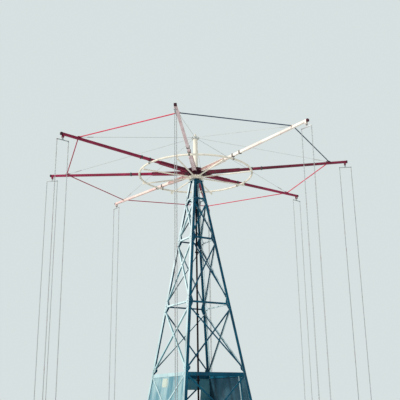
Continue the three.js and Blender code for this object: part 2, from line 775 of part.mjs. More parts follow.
function seatGeometry() {
  const panBack = -215;
  const panFront = 215;
  const backTop = SEAT_TOP_Z + 430;
  const shell = acrossChair(outline([
    [panFront, SEAT_TOP_Z - 46],
    [panFront + 14, SEAT_TOP_Z - 18],
    [panFront - 22, SEAT_TOP_Z + 2],
    [panBack + 60, SEAT_TOP_Z - 8],
    [panBack + 8, SEAT_TOP_Z + 46],
    [panBack - 60, backTop],
    [panBack - 84, backTop - 20],
    [panBack - 20, SEAT_TOP_Z + 32],
    [panBack + 44, SEAT_TOP_Z - 8 - SHELL_THICK],
    [panFront - 24, SEAT_TOP_Z - SHELL_THICK],
  ]), -SEAT_HALF, 2 * SEAT_HALF);
  const hoopBack = panBack - 36;
  const hoopFront = FORK_REACH + 40;
  const hoopBottom = SEAT_TOP_Z - 50;
  const hoop = outline([
    [panBack + 30, hoopBottom],
    [panFront - 10, hoopBottom],
    [hoopFront, ARMREST_Z - 30],
    [hoopFront - 20, ARMREST_Z + ARMREST_R],
    [hoopBack, ARMREST_Z + ARMREST_R],
  ]);
  hoop.holes.push(outline([
    [panBack + 50, hoopBottom + HOOP_WIDTH],
    [hoopBack + 36, ARMREST_Z - ARMREST_R],
    [hoopFront - 36, ARMREST_Z - ARMREST_R],
    [panFront - 34, hoopBottom + HOOP_WIDTH],
  ]));
  const hoops = [-1, 1].map((side) => acrossChair(hoop, side * CHAIN_HALF - HOOP_WIDTH / 2, HOOP_WIDTH));
  const lapBar = rod(
    ARMREST_R - 3,
    [PIVOT_R - CHAIN_HALF, hoopFront - 24, ARMREST_Z],
    [PIVOT_R + CHAIN_HALF, hoopFront - 24, ARMREST_Z],
    6,
  );
  return fuse([shell, ...hoops, lapBar]);
}

for (let i = 0; i < ARM_COUNT; i += 1) {
  piece(`chair_chains_${i + 1}`, chainsGeometry(), 'chain', i * STEP, rotor);
  piece(`chair_seat_${i + 1}`, seatGeometry(), 'green', i * STEP, rotor);
}

export default root;
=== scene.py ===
# %% [markdown]
# A chair swing ride: a tapering lattice tower, a rotor of eight arms on its head, and eight chairs
# that hang on long chains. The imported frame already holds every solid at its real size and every
# joint in its place. This script gives the ride its looks, in metres, with +Z up. First the frame is
# loaded, because everything after this is placed by it.

# %% Load the frame
import json
import math
import random

import bmesh
import bpy
from mathutils import Matrix, Vector


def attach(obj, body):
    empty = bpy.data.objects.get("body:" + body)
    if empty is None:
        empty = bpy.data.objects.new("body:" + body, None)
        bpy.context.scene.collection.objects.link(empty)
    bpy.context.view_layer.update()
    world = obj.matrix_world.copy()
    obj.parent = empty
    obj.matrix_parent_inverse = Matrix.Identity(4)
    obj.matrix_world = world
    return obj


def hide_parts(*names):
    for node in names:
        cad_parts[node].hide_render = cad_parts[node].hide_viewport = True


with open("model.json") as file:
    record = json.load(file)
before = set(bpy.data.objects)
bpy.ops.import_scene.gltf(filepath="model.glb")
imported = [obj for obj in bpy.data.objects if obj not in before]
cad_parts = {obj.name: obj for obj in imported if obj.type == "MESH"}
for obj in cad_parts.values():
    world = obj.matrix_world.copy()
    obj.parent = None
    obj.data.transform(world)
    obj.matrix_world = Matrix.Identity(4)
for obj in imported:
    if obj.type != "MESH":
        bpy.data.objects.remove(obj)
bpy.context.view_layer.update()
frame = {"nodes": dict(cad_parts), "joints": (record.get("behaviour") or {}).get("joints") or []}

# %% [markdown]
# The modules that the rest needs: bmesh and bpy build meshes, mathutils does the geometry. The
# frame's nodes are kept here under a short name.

NODES = frame["nodes"]

# %% [markdown]
# The camera stands where the photographer stood: on the ground, 26 m from the tower, looking up.
# Its place and its turns were found from the ride's own straight lines, with a focal length counted
# in the picture's pixels. A small roll is left in, because the picture has it.

# %% Camera
PICTURE_PIXELS = 400
FOCAL_PIXELS = 652.97
SENSOR_MM = 36.0
EYE = Vector((-13.332, -22.174, 1.590))
HEADING = math.radians(-31.384)
PITCH = math.radians(107.33)
ROLL = math.radians(-0.828)

camera_data = bpy.data.cameras.new("photo_camera")
camera_data.sensor_width = SENSOR_MM
camera_data.lens = FOCAL_PIXELS * SENSOR_MM / PICTURE_PIXELS
camera = bpy.data.objects.new("photo_camera", camera_data)
bpy.context.scene.collection.objects.link(camera)
camera.matrix_world = (
    Matrix.Translation(EYE)
    @ Matrix.Rotation(HEADING, 4, "Z")
    @ Matrix.Rotation(PITCH, 4, "X")
    @ Matrix.Rotation(ROLL, 4, "Z")
)
bpy.context.scene.camera = camera
print("camera: lens", round(camera_data.lens, 2), "mm")

# %% [markdown]
# The studio is plain: a pale floor, a pale sky that fills the shadows, one soft sun from the left
# that lights the faces towards -X as in the picture, and a weak light from the camera's side. The
# colours are shown without a film curve, so that a paint's colour stays what it was mixed to be.

# %% Studio
SUN_FROM = Vector((-0.88, 0.10, 0.44))
FILL_FROM = Vector((-0.35, -0.85, 0.35))
FLOOR_HALF = 160.0
FLOOR_Z = -0.002
SKY_COLOUR = (0.80, 0.88, 0.88, 1.0)
SKY_STRENGTH = 0.85


def sun_lamp(name, towards, strength, colour, softness):
    """A sun lamp that shines from a direction; softness is how wide it looks, in degrees."""
    data = bpy.data.lights.new(name, "SUN")
    data.energy = strength
    data.color = colour
    data.angle = math.radians(softness)
    lamp = bpy.data.objects.new(name, data)
    lamp.rotation_euler = towards.to_track_quat("Z", "Y").to_euler()
    bpy.context.scene.collection.objects.link(lamp)


bpy.context.scene.view_settings.view_transform = "Standard"
sun_lamp("low_sun", SUN_FROM, strength=3.4, colour=(1.0, 0.96, 0.90), softness=6.0)
sun_lamp("camera_side_fill", FILL_FROM, strength=0.3, colour=(0.85, 0.93, 1.0), softness=40.0)
sky = bpy.data.worlds.new("pale_sky")
sky.use_nodes = True
backdrop = sky.node_tree.nodes["Background"]
backdrop.inputs["Color"].default_value = SKY_COLOUR
backdrop.inputs["Strength"].default_value = SKY_STRENGTH
bpy.context.scene.world = sky

floor_mesh = bpy.data.meshes.new("floor")
floor_mesh.from_pydata(
    [(x * FLOOR_HALF, y * FLOOR_HALF, FLOOR_Z) for x, y in ((-1, -1), (1, -1), (1, 1), (-1, 1))],
    [],
    [(0, 1, 2, 3)],
)
floor = bpy.data.objects.new("floor", floor_mesh)
bpy.context.scene.collection.objects.link(floor)

# %% [markdown]
# Finishes and repeated pieces are small programs of nodes, and such a program is easier to read as
# sums. So a Wire wraps one output socket and turns Python's operators into Math nodes, also with
# the number first, as in 1 - mask. A Tree is a program that is being written: its node() method adds
# any node, sets its settings first and then feeds its sockets. Shader nodes and Geometry Nodes can
# share this, because both are trees of the same kind.

# %% Wires and trees
class Wire:
    """An output socket that Python's +, -, * and % work on."""

    def __init__(self, owner, socket):
        self.owner = owner
        self.socket = socket

    def sum(self, operation, *values):
        return self.owner.node("ShaderNodeMath", {"operation": operation}, dict(enumerate(values)))

    def __add__(self, other):
        return self.sum("ADD", self, other)

    def __radd__(self, other):
        return self.sum("ADD", other, self)

    def __sub__(self, other):
        return self.sum("SUBTRACT", self, other)

    def __rsub__(self, other):
        return self.sum("SUBTRACT", other, self)

    def __mul__(self, other):
        return self.sum("MULTIPLY", self, other)

    def __rmul__(self, other):
        return self.sum("MULTIPLY", other, self)

    def __mod__(self, other):
        return self.sum("MODULO", self, other)

    def rises(self, low, high):
        """0 under low, 1 over high and a smooth rise between."""
        values = {0: self, 1: low, 2: high, 3: 0.0, 4: 1.0}
        return self.owner.node("ShaderNodeMapRange", {"interpolation_type": "SMOOTHSTEP"}, values)


class Tree:
    """A program of nodes that is being written."""

    def node(self, kind, settings=None, inputs=None, output=0):
        made = self.tree.nodes.new(kind)
        for key, value in (settings or {}).items():
            setattr(made, key, value)
        for key, value in (inputs or {}).items():
            if isinstance(value, Wire):
                self.tree.links.new(value.socket, made.inputs[key])
            else:
                made.inputs[key].default_value = value
        return Wire(self, made.outputs[output])


print("wires and trees are ready")

# %% [markdown]
# A Finish is a material in the making. Its patterns read the Object coordinates, which are metres in
# the ride's own frame, so a noise of scale 10 has grains of about 0.1 m. Colours go through mix(),
# because a Math node would turn a colour grey.

# %% Finishes
class Finish(Tree):
    """A material that is being mixed from nodes."""

    def __init__(self, name):
        self.material = bpy.data.materials.new(name)
        self.material.use_nodes = True
        self.tree = self.material.node_tree
        self.tree.nodes.clear()
        self.place = self.node("ShaderNodeTexCoord", output="Object")

    def height(self):
        return self.node("ShaderNodeSeparateXYZ", None, {0: self.place}, output="Z")

    def facing(self, direction):
        """How squarely a surface faces a direction of the ride's frame, from -1 to 1."""
        normal = self.node("ShaderNodeTexCoord", output="Normal")
        values = {0: normal, 1: direction}
        return self.node("ShaderNodeVectorMath", {"operation": "DOT_PRODUCT"}, values, output="Value")

    def noise(self, scale, detail, stretch=(1.0, 1.0, 1.0), offset=0.0):
        """Noise from 0 to 1; stretch scales each axis, for streaks."""
        values = {"Vector": self.place, "Scale": stretch, "Location": (offset, offset, offset)}
        where = self.node("ShaderNodeMapping", None, values)
        return self.node("ShaderNodeTexNoise", None, {"Vector": where, "Scale": scale, "Detail": detail})

    def mix(self, share, first, second):
        """A colour between two colours."""
        values = {0: share, 6: self.colour(first), 7: self.colour(second)}
        return self.node("ShaderNodeMix", {"data_type": "RGBA"}, values, output=2)

    def colour(self, value):
        return value if isinstance(value, Wire) else (*value, 1.0)

    def bump(self, height, distance):
        return self.node("ShaderNodeBump", None, {"Height": height, "Strength": 1.0, "Distance": distance})

    def shade(self, **inputs):
        """Ends the material with its surface shader, fed by socket name with _ for a space."""
        named = {name.replace("_", " "): value for name, value in inputs.items()}
        named["Base Color"] = self.colour(named["Base Color"])
        shader = self.node("ShaderNodeBsdfPrincipled", None, named)
        end = self.tree.nodes.new("ShaderNodeOutputMaterial")
        self.tree.links.new(shader.socket, end.inputs["Surface"])
        return self.material


print("finishes can be mixed")

# %% [markdown]
# Nearly all of the ride is old oil paint on steel. Such a coat is never one colour: it is mottled
# where it was brushed twice, the faces towards the sun lamp are painted paler and whiter higher up,
# which is a painted sunlight and partly the chalking of old paint, rain draws dirt down it, and it
# chips to rust, most of all near the ground. weathered_paint() mixes those in that order, so each
# colour of the ride is one call with its own amounts.

# %% Weathered paint
RUST = (0.20, 0.065, 0.022)
DARK_RUST = (0.055, 0.022, 0.012)
GRIME = (0.045, 0.042, 0.038)
RAIN_RUN = (9.0, 9.0, 0.7)
PAINTED_SUN_HEIGHTS = (3.0, 7.0)
SPLASH_TOP = 2.2
CHIP_EDGE = (0.655, 0.70)


def weathered_paint(name, fresh, aged, sun_and_chalk=(), *, rust, dirt=0.4, roughness=0.5, gloss=0.2, run=RAIN_RUN):
    """Oil paint on steel. The optional pair of colours is what the faces towards the sun lamp are
    painted to, one for low down and one for high up: a painted sunlight, partly chalking."""
    paint = Finish(name)
    mottle = paint.noise(1.3, 5.0)
    grain = paint.noise(55.0, 3.0, offset=4.0)
    streaks = paint.noise(1.0, 5.0, stretch=run, offset=9.0)
    coat = paint.mix(mottle.rises(0.36, 0.68), fresh, aged)
    if sun_and_chalk:
        # Faces towards the sun lamp are painted paler, whiter higher up: a painted sunlight, partly
        # chalking.
        painted_sun_mask = paint.facing(SUN_FROM.normalized()).rises(0.35, 0.8)
        sun_and_chalk_colour = paint.mix(paint.height().rises(*PAINTED_SUN_HEIGHTS), *sun_and_chalk)
        coat = paint.mix(painted_sun_mask * (0.55 + 0.45 * mottle), coat, sun_and_chalk_colour)
    coat = paint.mix(dirt * streaks.rises(0.52, 0.74), coat, GRIME)
    low_down = 1 - paint.height().rises(0.0, SPLASH_TOP)
    chips = paint.noise(7.0, 8.0, offset=2.0)
    bare = (chips + 0.07 * low_down + 0.05 * rust).rises(*CHIP_EDGE) * rust
    coat = paint.mix(bare, coat, paint.mix(grain, RUST, DARK_RUST))
    height = 0.6 * grain + 0.4 * streaks - 1.5 * bare
    return paint.shade(
        Base_Color=coat,
        Roughness=roughness + 0.18 * streaks + 0.3 * bare,
        Specular_IOR_Level=gloss,
        Normal=paint.bump(height, 0.0012),
    )


# The two colours of that painted sunlight on the blues, for low down and for high up.
SUN_AND_CHALK_COLOURS = ((0.42, 0.55, 0.57), (0.60, 0.69, 0.71))
TOWER_BLUE = weathered_paint(
    "tower_blue", (0.001, 0.046, 0.088), (0.002, 0.085, 0.142), SUN_AND_CHALK_COLOURS, rust=0.15, gloss=0.1
)
# A paler copy of the tower blue for the left lattice, which stands in the sun: a painted sunlight.
SUNLIT_LATTICE_BLUE = weathered_paint(
    "bleached_blue", (0.10, 0.25, 0.30), (0.28, 0.43, 0.46), SUN_AND_CHALK_COLOURS, rust=0.15, gloss=0.1
)
# A copy without the painted sunlight, for the bars low on the right that stand in shade.
SHADED_BLUE = weathered_paint("shaded_blue", (0.004, 0.075, 0.13), (0.012, 0.13, 0.20), rust=0.15, gloss=0.1)
CRIMSON = weathered_paint("worn_crimson", (0.17, 0.004, 0.030), (0.27, 0.010, 0.055), rust=0.2, dirt=0.3)
BRIGHT_RED = weathered_paint("tie_red", (0.46, 0.008, 0.045), (0.58, 0.030, 0.09), rust=0.1, dirt=0.1)
TIE_CRIMSON = weathered_paint("tie_crimson", (0.26, 0.002, 0.030), (0.36, 0.008, 0.060), rust=0.1, dirt=0.1)
# A darker copy of the crimson: a painted shade, on arm 8 and in the recessed webs.
PAINTED_SHADE_CRIMSON = weathered_paint("deep_crimson", (0.075, 0.003, 0.014), (0.14, 0.006, 0.028), rust=0.2)
# Pale copies of the crimson for arms 3, 6 and 7, whose sides the sun lights: a painted sunlight.
ROSE = weathered_paint("faded_rose", (0.62, 0.42, 0.40), (0.70, 0.57, 0.51), rust=0.15, dirt=0.2)
PALE_ROSE = weathered_paint("pale_rose", (0.68, 0.57, 0.52), (0.76, 0.69, 0.63), rust=0.15, dirt=0.15)
DUSTY_ROSE = weathered_paint("dusty_rose", (0.60, 0.44, 0.45), (0.68, 0.55, 0.56), rust=0.15, dirt=0.2)
# A darker rose for the recessed webs of the pale arms: a painted shade.
ROSE_SHADE = weathered_paint("rose_in_the_channels", (0.34, 0.19, 0.18), (0.44, 0.31, 0.28), rust=0.4)
MAROON = weathered_paint("dark_maroon", (0.030, 0.003, 0.011), (0.065, 0.006, 0.020), rust=0.2)
# Nearly black: the shaft inside the tower is painted as if in shade, a painted shade.
SHAFT_PAINTED_SHADE = weathered_paint(
    "shaft_maroon", (0.004, 0.001, 0.002), (0.009, 0.002, 0.004), rust=0.05, gloss=0.05
)
CREAM = weathered_paint("cream", (0.72, 0.66, 0.56), (0.64, 0.59, 0.51), rust=0.25, dirt=0.25)
SLATE = weathered_paint("slate", (0.020, 0.040, 0.075), (0.05, 0.075, 0.12), rust=0.2, dirt=0.2)
PALE_STAY = weathered_paint("pale_stay", (0.36, 0.38, 0.38), (0.46, 0.47, 0.45), rust=0.3, dirt=0.3)
SEAT_GREEN = weathered_paint(
    "seat_green", (0.028, 0.20, 0.11), (0.05, 0.29, 0.17), rust=0.0, dirt=0.3, roughness=0.3
)
print("paints:", [m.name for m in bpy.data.materials])

# %% [markdown]
# The sheet iron round the foot of the tower was painted a paler blue than the frame, and rain has
# washed it into broad upright streaks, some nearly white and some back to the first blue. The
# streaks are two noises of different widths, both drawn out a long way in height. The inner sides
# are plainer and take weathered paint with wider streaks, painted dark as a painted shade, with a
# paler copy on the rear wall that stands for the light reaching it.

# %% Streaked sheet iron
SHEET_BLUE = (0.055, 0.17, 0.22)
WASHED_BLUE = (0.20, 0.32, 0.35)
CHALKY_RUN = (0.34, 0.42, 0.41)


def streaked_sheet():
    sheet = Finish("streaked_sheet")
    broad = sheet.noise(1.0, 3.0, stretch=(2.4, 2.4, 0.16), offset=1.7)
    fine = sheet.noise(1.0, 5.0, stretch=(16.0, 16.0, 0.5), offset=5.0)
    grain = sheet.noise(60.0, 3.0)
    coat = sheet.mix(broad.rises(0.36, 0.62), SHEET_BLUE, WASHED_BLUE)
    coat = sheet.mix(0.6 * fine.rises(0.50, 0.74), coat, CHALKY_RUN)
    chips = sheet.noise(3.5, 8.0, offset=3.0)
    low_down = 1 - sheet.height().rises(0.0, 0.7)
    bare = (chips + 0.12 * low_down).rises(0.66, 0.72)
    coat = sheet.mix(0.8 * bare, coat, sheet.mix(grain, RUST, DARK_RUST))
    return sheet.shade(
        Base_Color=coat,
        Roughness=0.5 + 0.2 * fine + 0.2 * bare,
        Normal=sheet.bump(0.5 * grain + 0.5 * fine - bare, 0.0015),
    )


SHEET_IRON = streaked_sheet()
SHEET_RUN = (6.0, 6.0, 0.4)
# The inner sides of the sheets are painted dark: a painted shade.
SHEET_INSIDE_PAINTED_SHADE = weathered_paint(
    "sheet_back", (0.008, 0.040, 0.066), (0.035, 0.10, 0.14), rust=0.1, run=SHEET_RUN
)
# A paler copy for the rear wall's inner side, for the light that reaches it: painted light.
SHEET_INSIDE_PAINTED_LIGHT = weathered_paint(
    "pale_sheet_back", (0.05, 0.19, 0.25), (0.13, 0.30, 0.34), rust=0.1, run=SHEET_RUN
)

# %% [markdown]
# Bare metal comes in two kinds: galvanised chain and shackles, whose zinc shows as dull spangles,
# and the black steel of bolts and clamps. Both are Metallic, and their life is in the roughness.

# %% Bare metals
def bare_metal(name, bright, dull, roughness, rust):
    metal = Finish(name)
    spangle = metal.noise(90.0, 2.0)
    patches = metal.noise(6.0, 5.0, offset=6.0)
    stain = patches.rises(0.56, 0.72) * rust
    coat = metal.mix(spangle.rises(0.3, 0.7), bright, dull)
    return metal.shade(
        Base_Color=metal.mix(stain, coat, RUST),
        Metallic=0.9 - 0.7 * stain,
        Roughness=roughness + 0.2 * spangle + 0.2 * stain,
        Normal=metal.bump(spangle, 0.0004),
    )


GALVANISED = bare_metal("galvanised", (0.40, 0.41, 0.42), (0.24, 0.25, 0.26), 0.42, 0.6)
BLACK_STEEL = bare_metal("black_steel", (0.10, 0.095, 0.09), (0.05, 0.048, 0.046), 0.45, 0.6)
PALE_FLOOR = Finish("pale_floor").shade(Base_Color=(0.78, 0.79, 0.78), Roughness=0.9)
floor.data.materials.append(PALE_FLOOR)
print("finishes:", len(bpy.data.materials))

# %% [markdown]
# Every node of the frame gets the finish of its own paint. The names of the nodes say which: all
# that belongs to the tower is blue but for the sheets, and on the rotor each kind of piece has a
# colour of its own. The tower has three blues: the left lattice, which stands in the sun, gets a
# paler copy that is a painted sunlight, and the crossed bars low on the right, which stand in shade,
# get a copy without the painted sunlight. The meshes of the frame are left as they are.

# %% Paint the frame's nodes
NODE_PAINT = {
    "lattice_left": SUNLIT_LATTICE_BLUE,
    "bottom_bracing_right": SHADED_BLUE,
    "sheeting": SHEET_IRON,
    # The shaft's nearly black paint is a painted shade.
    "drive_shaft": SHAFT_PAINTED_SHADE,
    "hub": MAROON,
    "rotor_drum": CREAM,
    "king_post": CREAM,
    "inner_ring": CREAM,
    "ring_spokes": CREAM,
    "crown_stays": SLATE,
    "arm": CRIMSON,
    "tie_rod": CRIMSON,
    "chair_chains": GALVANISED,
    "chair_seat": SEAT_GREEN,
}


def paint_of(node):
    for start, material in NODE_PAINT.items():
        if node.startswith(start):
            return material
    return TOWER_BLUE


for name, node in NODES.items():
    node.data.materials.clear()
    node.data.materials.append(paint_of(name))
print("painted:", len(NODES), "nodes")

# %% [markdown]
# Most pieces of a ride are one of a few shapes: a bar or tube along a line, something turned about
# an axis, a block, or a plate cut to an outline. All of them are lofts, which skin a row of loops of
# points. A Shape collects such lofts in one bmesh, and every new face takes the finish whose number
# is in its paint. Blocks have their edges bevelled, because a sharp edge catches no light.

# %% Shapes
def turns(count, start=0.0):
    """Equal turns round a circle, in radians."""
    return [start + 2 * math.pi * i / count for i in range(count)]


def polar(radius, turn, z):
    """The point at a radius and a turn about the upright axis."""
    return (radius * math.cos(turn), radius * math.sin(turn), z)


class Shape:
    """A mesh in the making, in the axes of whatever it is built for."""

    def __init__(self):
        self.mesh = bmesh.new()
        self.paint = 0

    def loft(self, loops, closed=False):
        """Skins equal loops of points; closed joins the last to the first, else the ends are capped."""
        rows = [[self.mesh.verts.new(point) for point in loop] for loop in loops]
        pairs = list(zip(rows, rows[1:]))
        if closed:
            pairs.append((rows[-1], rows[0]))
        faces = []
        for low, high in pairs:
            count = len(low)
            for i in range(count):
                j = (i + 1) % count
                faces.append(self.mesh.faces.new((low[i], low[j], high[j], high[i])))
        if not closed:
            faces.append(self.mesh.faces.new(rows[0][::-1]))
            faces.append(self.mesh.faces.new(rows[-1]))
        for face in faces:
            face.material_index = self.paint
        return self

    def tube(self, points, radius, sides, closed=False):
        """A round bar along a line of points; radius may be a list with one for each point."""
        points = [Vector(point) for point in points]
        radii = radius if isinstance(radius, list) else [radius] * len(points)
        loops = []
        across = None
        for i, (point, r) in enumerate(zip(points, radii)):
            before = points[i - 1] if i or closed else point
            after = points[(i + 1) % len(points)] if i + 1 < len(points) or closed else point
            along = (after - before).normalized()
            if across is None:
                across = along.orthogonal().normalized()
            across = (across - along * across.dot(along)).normalized()
            up = along.cross(across)
            loops.append([point + r * (math.cos(t) * across + math.sin(t) * up) for t in turns(sides)])
        return self.loft(loops, closed)

    def lathe(self, profile, sides, at=(0, 0, 0), axis=(0, 0, 1)):
        """Turns (radius, distance along the axis) pairs about an axis."""
        stand = Vector((0, 0, 1)).rotation_difference(Vector(axis)).to_matrix()
        return self.loft([
            [stand @ Vector(polar(r, t, z)) + Vector(at) for t in turns(sides)]
            for r, z in profile
        ])

    def ring(self, profile, sides):
        """Turns a closed outline of (radius, height) pairs about the upright axis."""
        return self.loft([[polar(r, t, z) for r, z in profile] for t in turns(sides)], closed=True)

    def block(self, low, high, bevel):
        """A box between two corners; bevel softens its edges."""
        low, high = Vector(low), Vector(high)
        made = bmesh.ops.create_cube(self.mesh, size=1.0)
        for vert in made["verts"]:
            vert.co = low + Vector((vert.co[i] + 0.5) * (high - low)[i] for i in range(3))
        edges = list({edge for vert in made["verts"] for edge in vert.link_edges})
        for face in {face for vert in made["verts"] for face in vert.link_faces}:
            face.material_index = self.paint
        if bevel:
            bmesh.ops.bevel(
                self.mesh,
                geom=edges,
                offset=bevel,
                segments=2,
                affect="EDGES",
                profile=0.5,
                material=self.paint,
            )
        return self

    def plate(self, outline, low, high, axes):
        """A flat outline given a thickness: axes says which coordinate each of x, y and depth is."""
        loops = []
        for depth in (low, high):
            loop = []
            for x, y in outline:
                point = [0.0, 0.0, 0.0]
                point[axes[0]], point[axes[1]], point[axes[2]] = x, y, depth
                loop.append(point)
            loops.append(loop)
        return self.loft(loops)

    def add(self, other, matrix):
        """Adds another shape, placed by a matrix."""
        copies = {vert: self.mesh.verts.new(matrix @ vert.co) for vert in other.mesh.verts}
        for face in other.mesh.faces:
            made = self.mesh.faces.new([copies[vert] for vert in face.verts])
            made.material_index = face.material_index
        return self

    def around(self, other, count, start=0.0):
        """Adds another shape at equal turns about the upright axis."""
        for turn in turns(count, start):
            self.add(other, Matrix.Rotation(turn, 4, "Z"))


print("shapes: loft, tube, lathe, ring, block and plate")

# %% [markdown]
# A shape becomes a piece of the ride once: its normals are turned outwards, its mesh is placed by a
# matrix while the object stays at the origin, and it is told which body it rides on, which finishes
# it takes and which nodes of the frame it stands for. Faces are smooth but for edges over 35 degrees.
# spun() gives the matrix of arm number k, whose zero line the frame's first joint tells.

# %% Pieces
FIRST_PIN = frame["joints"][1]["pos_m"]
ARM_COUNT = 8
STEP = 2 * math.pi / ARM_COUNT
TURN = math.atan2(FIRST_PIN[1], FIRST_PIN[0])
PIN_R = math.hypot(FIRST_PIN[0], FIRST_PIN[1])
PIN_Z = FIRST_PIN[2]
ARMS = range(1, ARM_COUNT + 1)
SMOOTH_BELOW = 35


def spun(k):
    """From the axes of an arm, which runs along +X, to the place of arm k."""
    return Matrix.Rotation(TURN + (k - 1) * STEP, 4, "Z")


def piece(name, shape, finishes, body, replaces, matrix=None):
    mesh = bpy.data.meshes.new(name)
    bmesh.ops.recalc_face_normals(shape.mesh, faces=shape.mesh.faces)
    shape.mesh.to_mesh(mesh)
    if matrix:
        mesh.transform(matrix)
    mesh.polygons.foreach_set("use_smooth", [True] * len(mesh.polygons))
    mesh.set_sharp_from_angle(angle=math.radians(SMOOTH_BELOW))
    return place_mesh(name, mesh, finishes, body, replaces)


def place_mesh(name, mesh, finishes, body, replaces=()):
    for finish in finishes:
        mesh.materials.append(finish)
    made = bpy.data.objects.new(name, mesh)
    bpy.context.scene.collection.objects.link(made)
    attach(made, body)
    if replaces:
        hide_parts(*replaces)
    return made


print("arm 1 stands at", round(math.degrees(TURN), 2), "degrees; pins at radius", round(PIN_R, 3))

# %% [markdown]
# Bolts and rivets are what gives the ride its scale, and there are hundreds, so Geometry Nodes place
# them. A list of fixings holds each one's place, the way it faces and the radius of its head. It is
# written to a mesh of bare points, and the tree puts one head on each point: a hexagon on a washer
# for a bolt, or a low eight-sided button on one for a rivet. Each head has about two dozen faces.

# %% Growths
class Growth(Tree):
    """A Geometry Nodes tree in the making; its sizes are named inputs."""

    def __init__(self, name, sizes):
        self.tree = bpy.data.node_groups.new(name, "GeometryNodeTree")
        sockets = self.tree.interface
        sockets.new_socket("Geometry", in_out="INPUT", socket_type="NodeSocketGeometry")
        for size, value in sizes.items():
            socket = sockets.new_socket(size, in_out="INPUT", socket_type="NodeSocketFloat")
            socket.default_value = value
        sockets.new_socket("Geometry", in_out="OUTPUT", socket_type="NodeSocketGeometry")
        self.given = self.tree.nodes.new("NodeGroupInput")

    def size(self, name):
        return Wire(self, self.given.outputs[name])

    def host(self):
        return Wire(self, self.given.outputs["Geometry"])

    def attribute(self, name, kind):
        return self.node("GeometryNodeInputNamedAttribute", {"data_type": kind}, {"Name": name})

    def turned(self, way, turn):
        """A rotation that stands Z along a direction and then turns about it."""
        along = self.node("FunctionNodeAlignRotationToVector", {"axis": "Z"}, {"Vector": way})
        values = {"Axis": (0.0, 0.0, 1.0), "Angle": turn}
        about = self.node("FunctionNodeAxisAngleToRotation", None, values)
        values = {"Rotation": along, "Rotate By": about}
        return self.node("FunctionNodeRotateRotation", {"rotation_space": "LOCAL"}, values)

    def joined(self, *parts):
        join = self.tree.nodes.new("GeometryNodeJoinGeometry")
        for part in reversed(parts):
            self.tree.links.new(part.socket, join.inputs[0])
        return Wire(self, join.outputs[0])

    def end(self, geometry, material):
        real = self.node("GeometryNodeRealizeInstances", None, {"Geometry": geometry})
        dressed = self.node("GeometryNodeSetMaterial", None, {"Geometry": real, "Material": material})
        end = self.tree.nodes.new("NodeGroupOutput")
        self.tree.links.new(dressed.socket, end.inputs[0])

    def grow(self, name, host):
        """The plain mesh that this tree makes of a host mesh."""
        carrier = bpy.data.objects.new(name + "_host", host)
        bpy.context.scene.collection.objects.link(carrier)
        modifier = carrier.modifiers.new("growth", "NODES")
        modifier.node_group = self.tree
        grown = carrier.evaluated_get(bpy.context.evaluated_depsgraph_get())
        mesh = bpy.data.meshes.new_from_object(grown)
        mesh.name = name
        carrier.modifiers.clear()
        bpy.data.objects.remove(carrier)
        return mesh


FULL_TURN = 6.28
WASHER_SIDES = 12
WASHER_HEIGHT = 0.18
SPIN_SEED = 7


def heads_tree(name, material, sides, height, washer):
    """One head on every point: size 1 is a head of radius 1, scaled by each point's own radius."""
    heads = Growth(name, {"Head height": height, "Washer radius": washer, "Washer height": WASHER_HEIGHT})
    body = heads.node(
        "GeometryNodeMeshCylinder",
        {"fill_type": "NGON"},
        {"Vertices": sides, "Radius": 1.0, "Depth": heads.size("Head height")},
    )
    lift = heads.node("ShaderNodeCombineXYZ", None, {"Z": heads.size("Head height") * 0.5})
    body = heads.node("GeometryNodeTransform", None, {"Geometry": body, "Translation": lift})
    disc = heads.node(
        "GeometryNodeMeshCylinder",
        {"fill_type": "NGON"},
        {
            "Vertices": WASHER_SIDES,
            "Radius": heads.size("Washer radius"),
            "Depth": heads.size("Washer height"),
        },
    )
    spin = heads.node("FunctionNodeRandomValue", {"data_type": "FLOAT"}, {"Seed": SPIN_SEED}, output=1)
    placed = heads.node(
        "GeometryNodeInstanceOnPoints",
        None,
        {
            "Points": heads.host(),
            "Instance": heads.joined(body, disc),
            "Rotation": heads.turned(heads.attribute("facing", "FLOAT_VECTOR"), spin * FULL_TURN),
            "Scale": heads.attribute("radius", "FLOAT"),
        },
    )
    heads.end(placed, material)
    return heads


BOLT_HEADS = heads_tree("bolt_heads", BLACK_STEEL, sides=6, height=0.75, washer=1.45)
BLUE_BOLTS = heads_tree("painted_bolt_heads", TOWER_BLUE, sides=6, height=0.75, washer=1.45)
SHEET_RIVETS = heads_tree("sheet_rivets", SHEET_IRON, sides=8, height=0.35, washer=1.25)


def fixings_piece(name, tree, fixings, body):
    """fixings is a list of (place, way it faces, radius of its head)."""
    points = bpy.data.meshes.new(name + "_points")
    points.from_pydata([tuple(place) for place, _, _ in fixings], [], [])
    facing = points.attributes.new("facing", "FLOAT_VECTOR", "POINT")
    facing.data.foreach_set("vector", [c for _, way, _ in fixings for c in way])
    radius = points.attributes.new("radius", "FLOAT", "POINT")
    radius.data.foreach_set("value", [r for _, _, r in fixings])
    mesh = tree.grow(name, points)
    print(name + ":", len(fixings), "heads,", len(mesh.polygons), "faces")
    return place_mesh(name, mesh, [], body)


def on_matrix(matrix, fixings):
    """The same fixings, placed by a matrix."""
    turn = matrix.to_3x3()
    return [(matrix @ Vector(place), turn @ Vector(way), r) for place, way, r in fixings]


print("growths: bolt heads and rivets")

# %% [markdown]
# An arm is a welded box beam that tapers from the hub to its tip and climbs a little on its way. At
# its root it lies between two channels, whose flanges narrow outwards to a plate across their ends.
# Two dark clamps are bolted round it, and the ring hangs from the first. A lug on top takes its stay,
# a cleat takes the tie rods, and under the tip two ears hold the chair's pin. It could be a scaled
# cube, but then its corners would be sharp. So its rounded section is lofted along the taper, and the
# plates are cut to their own outlines. What lies along the arm is drawn level, along +X at height
# zero, and LIFT leans it up to its place; spun() then puts it on its own arm.

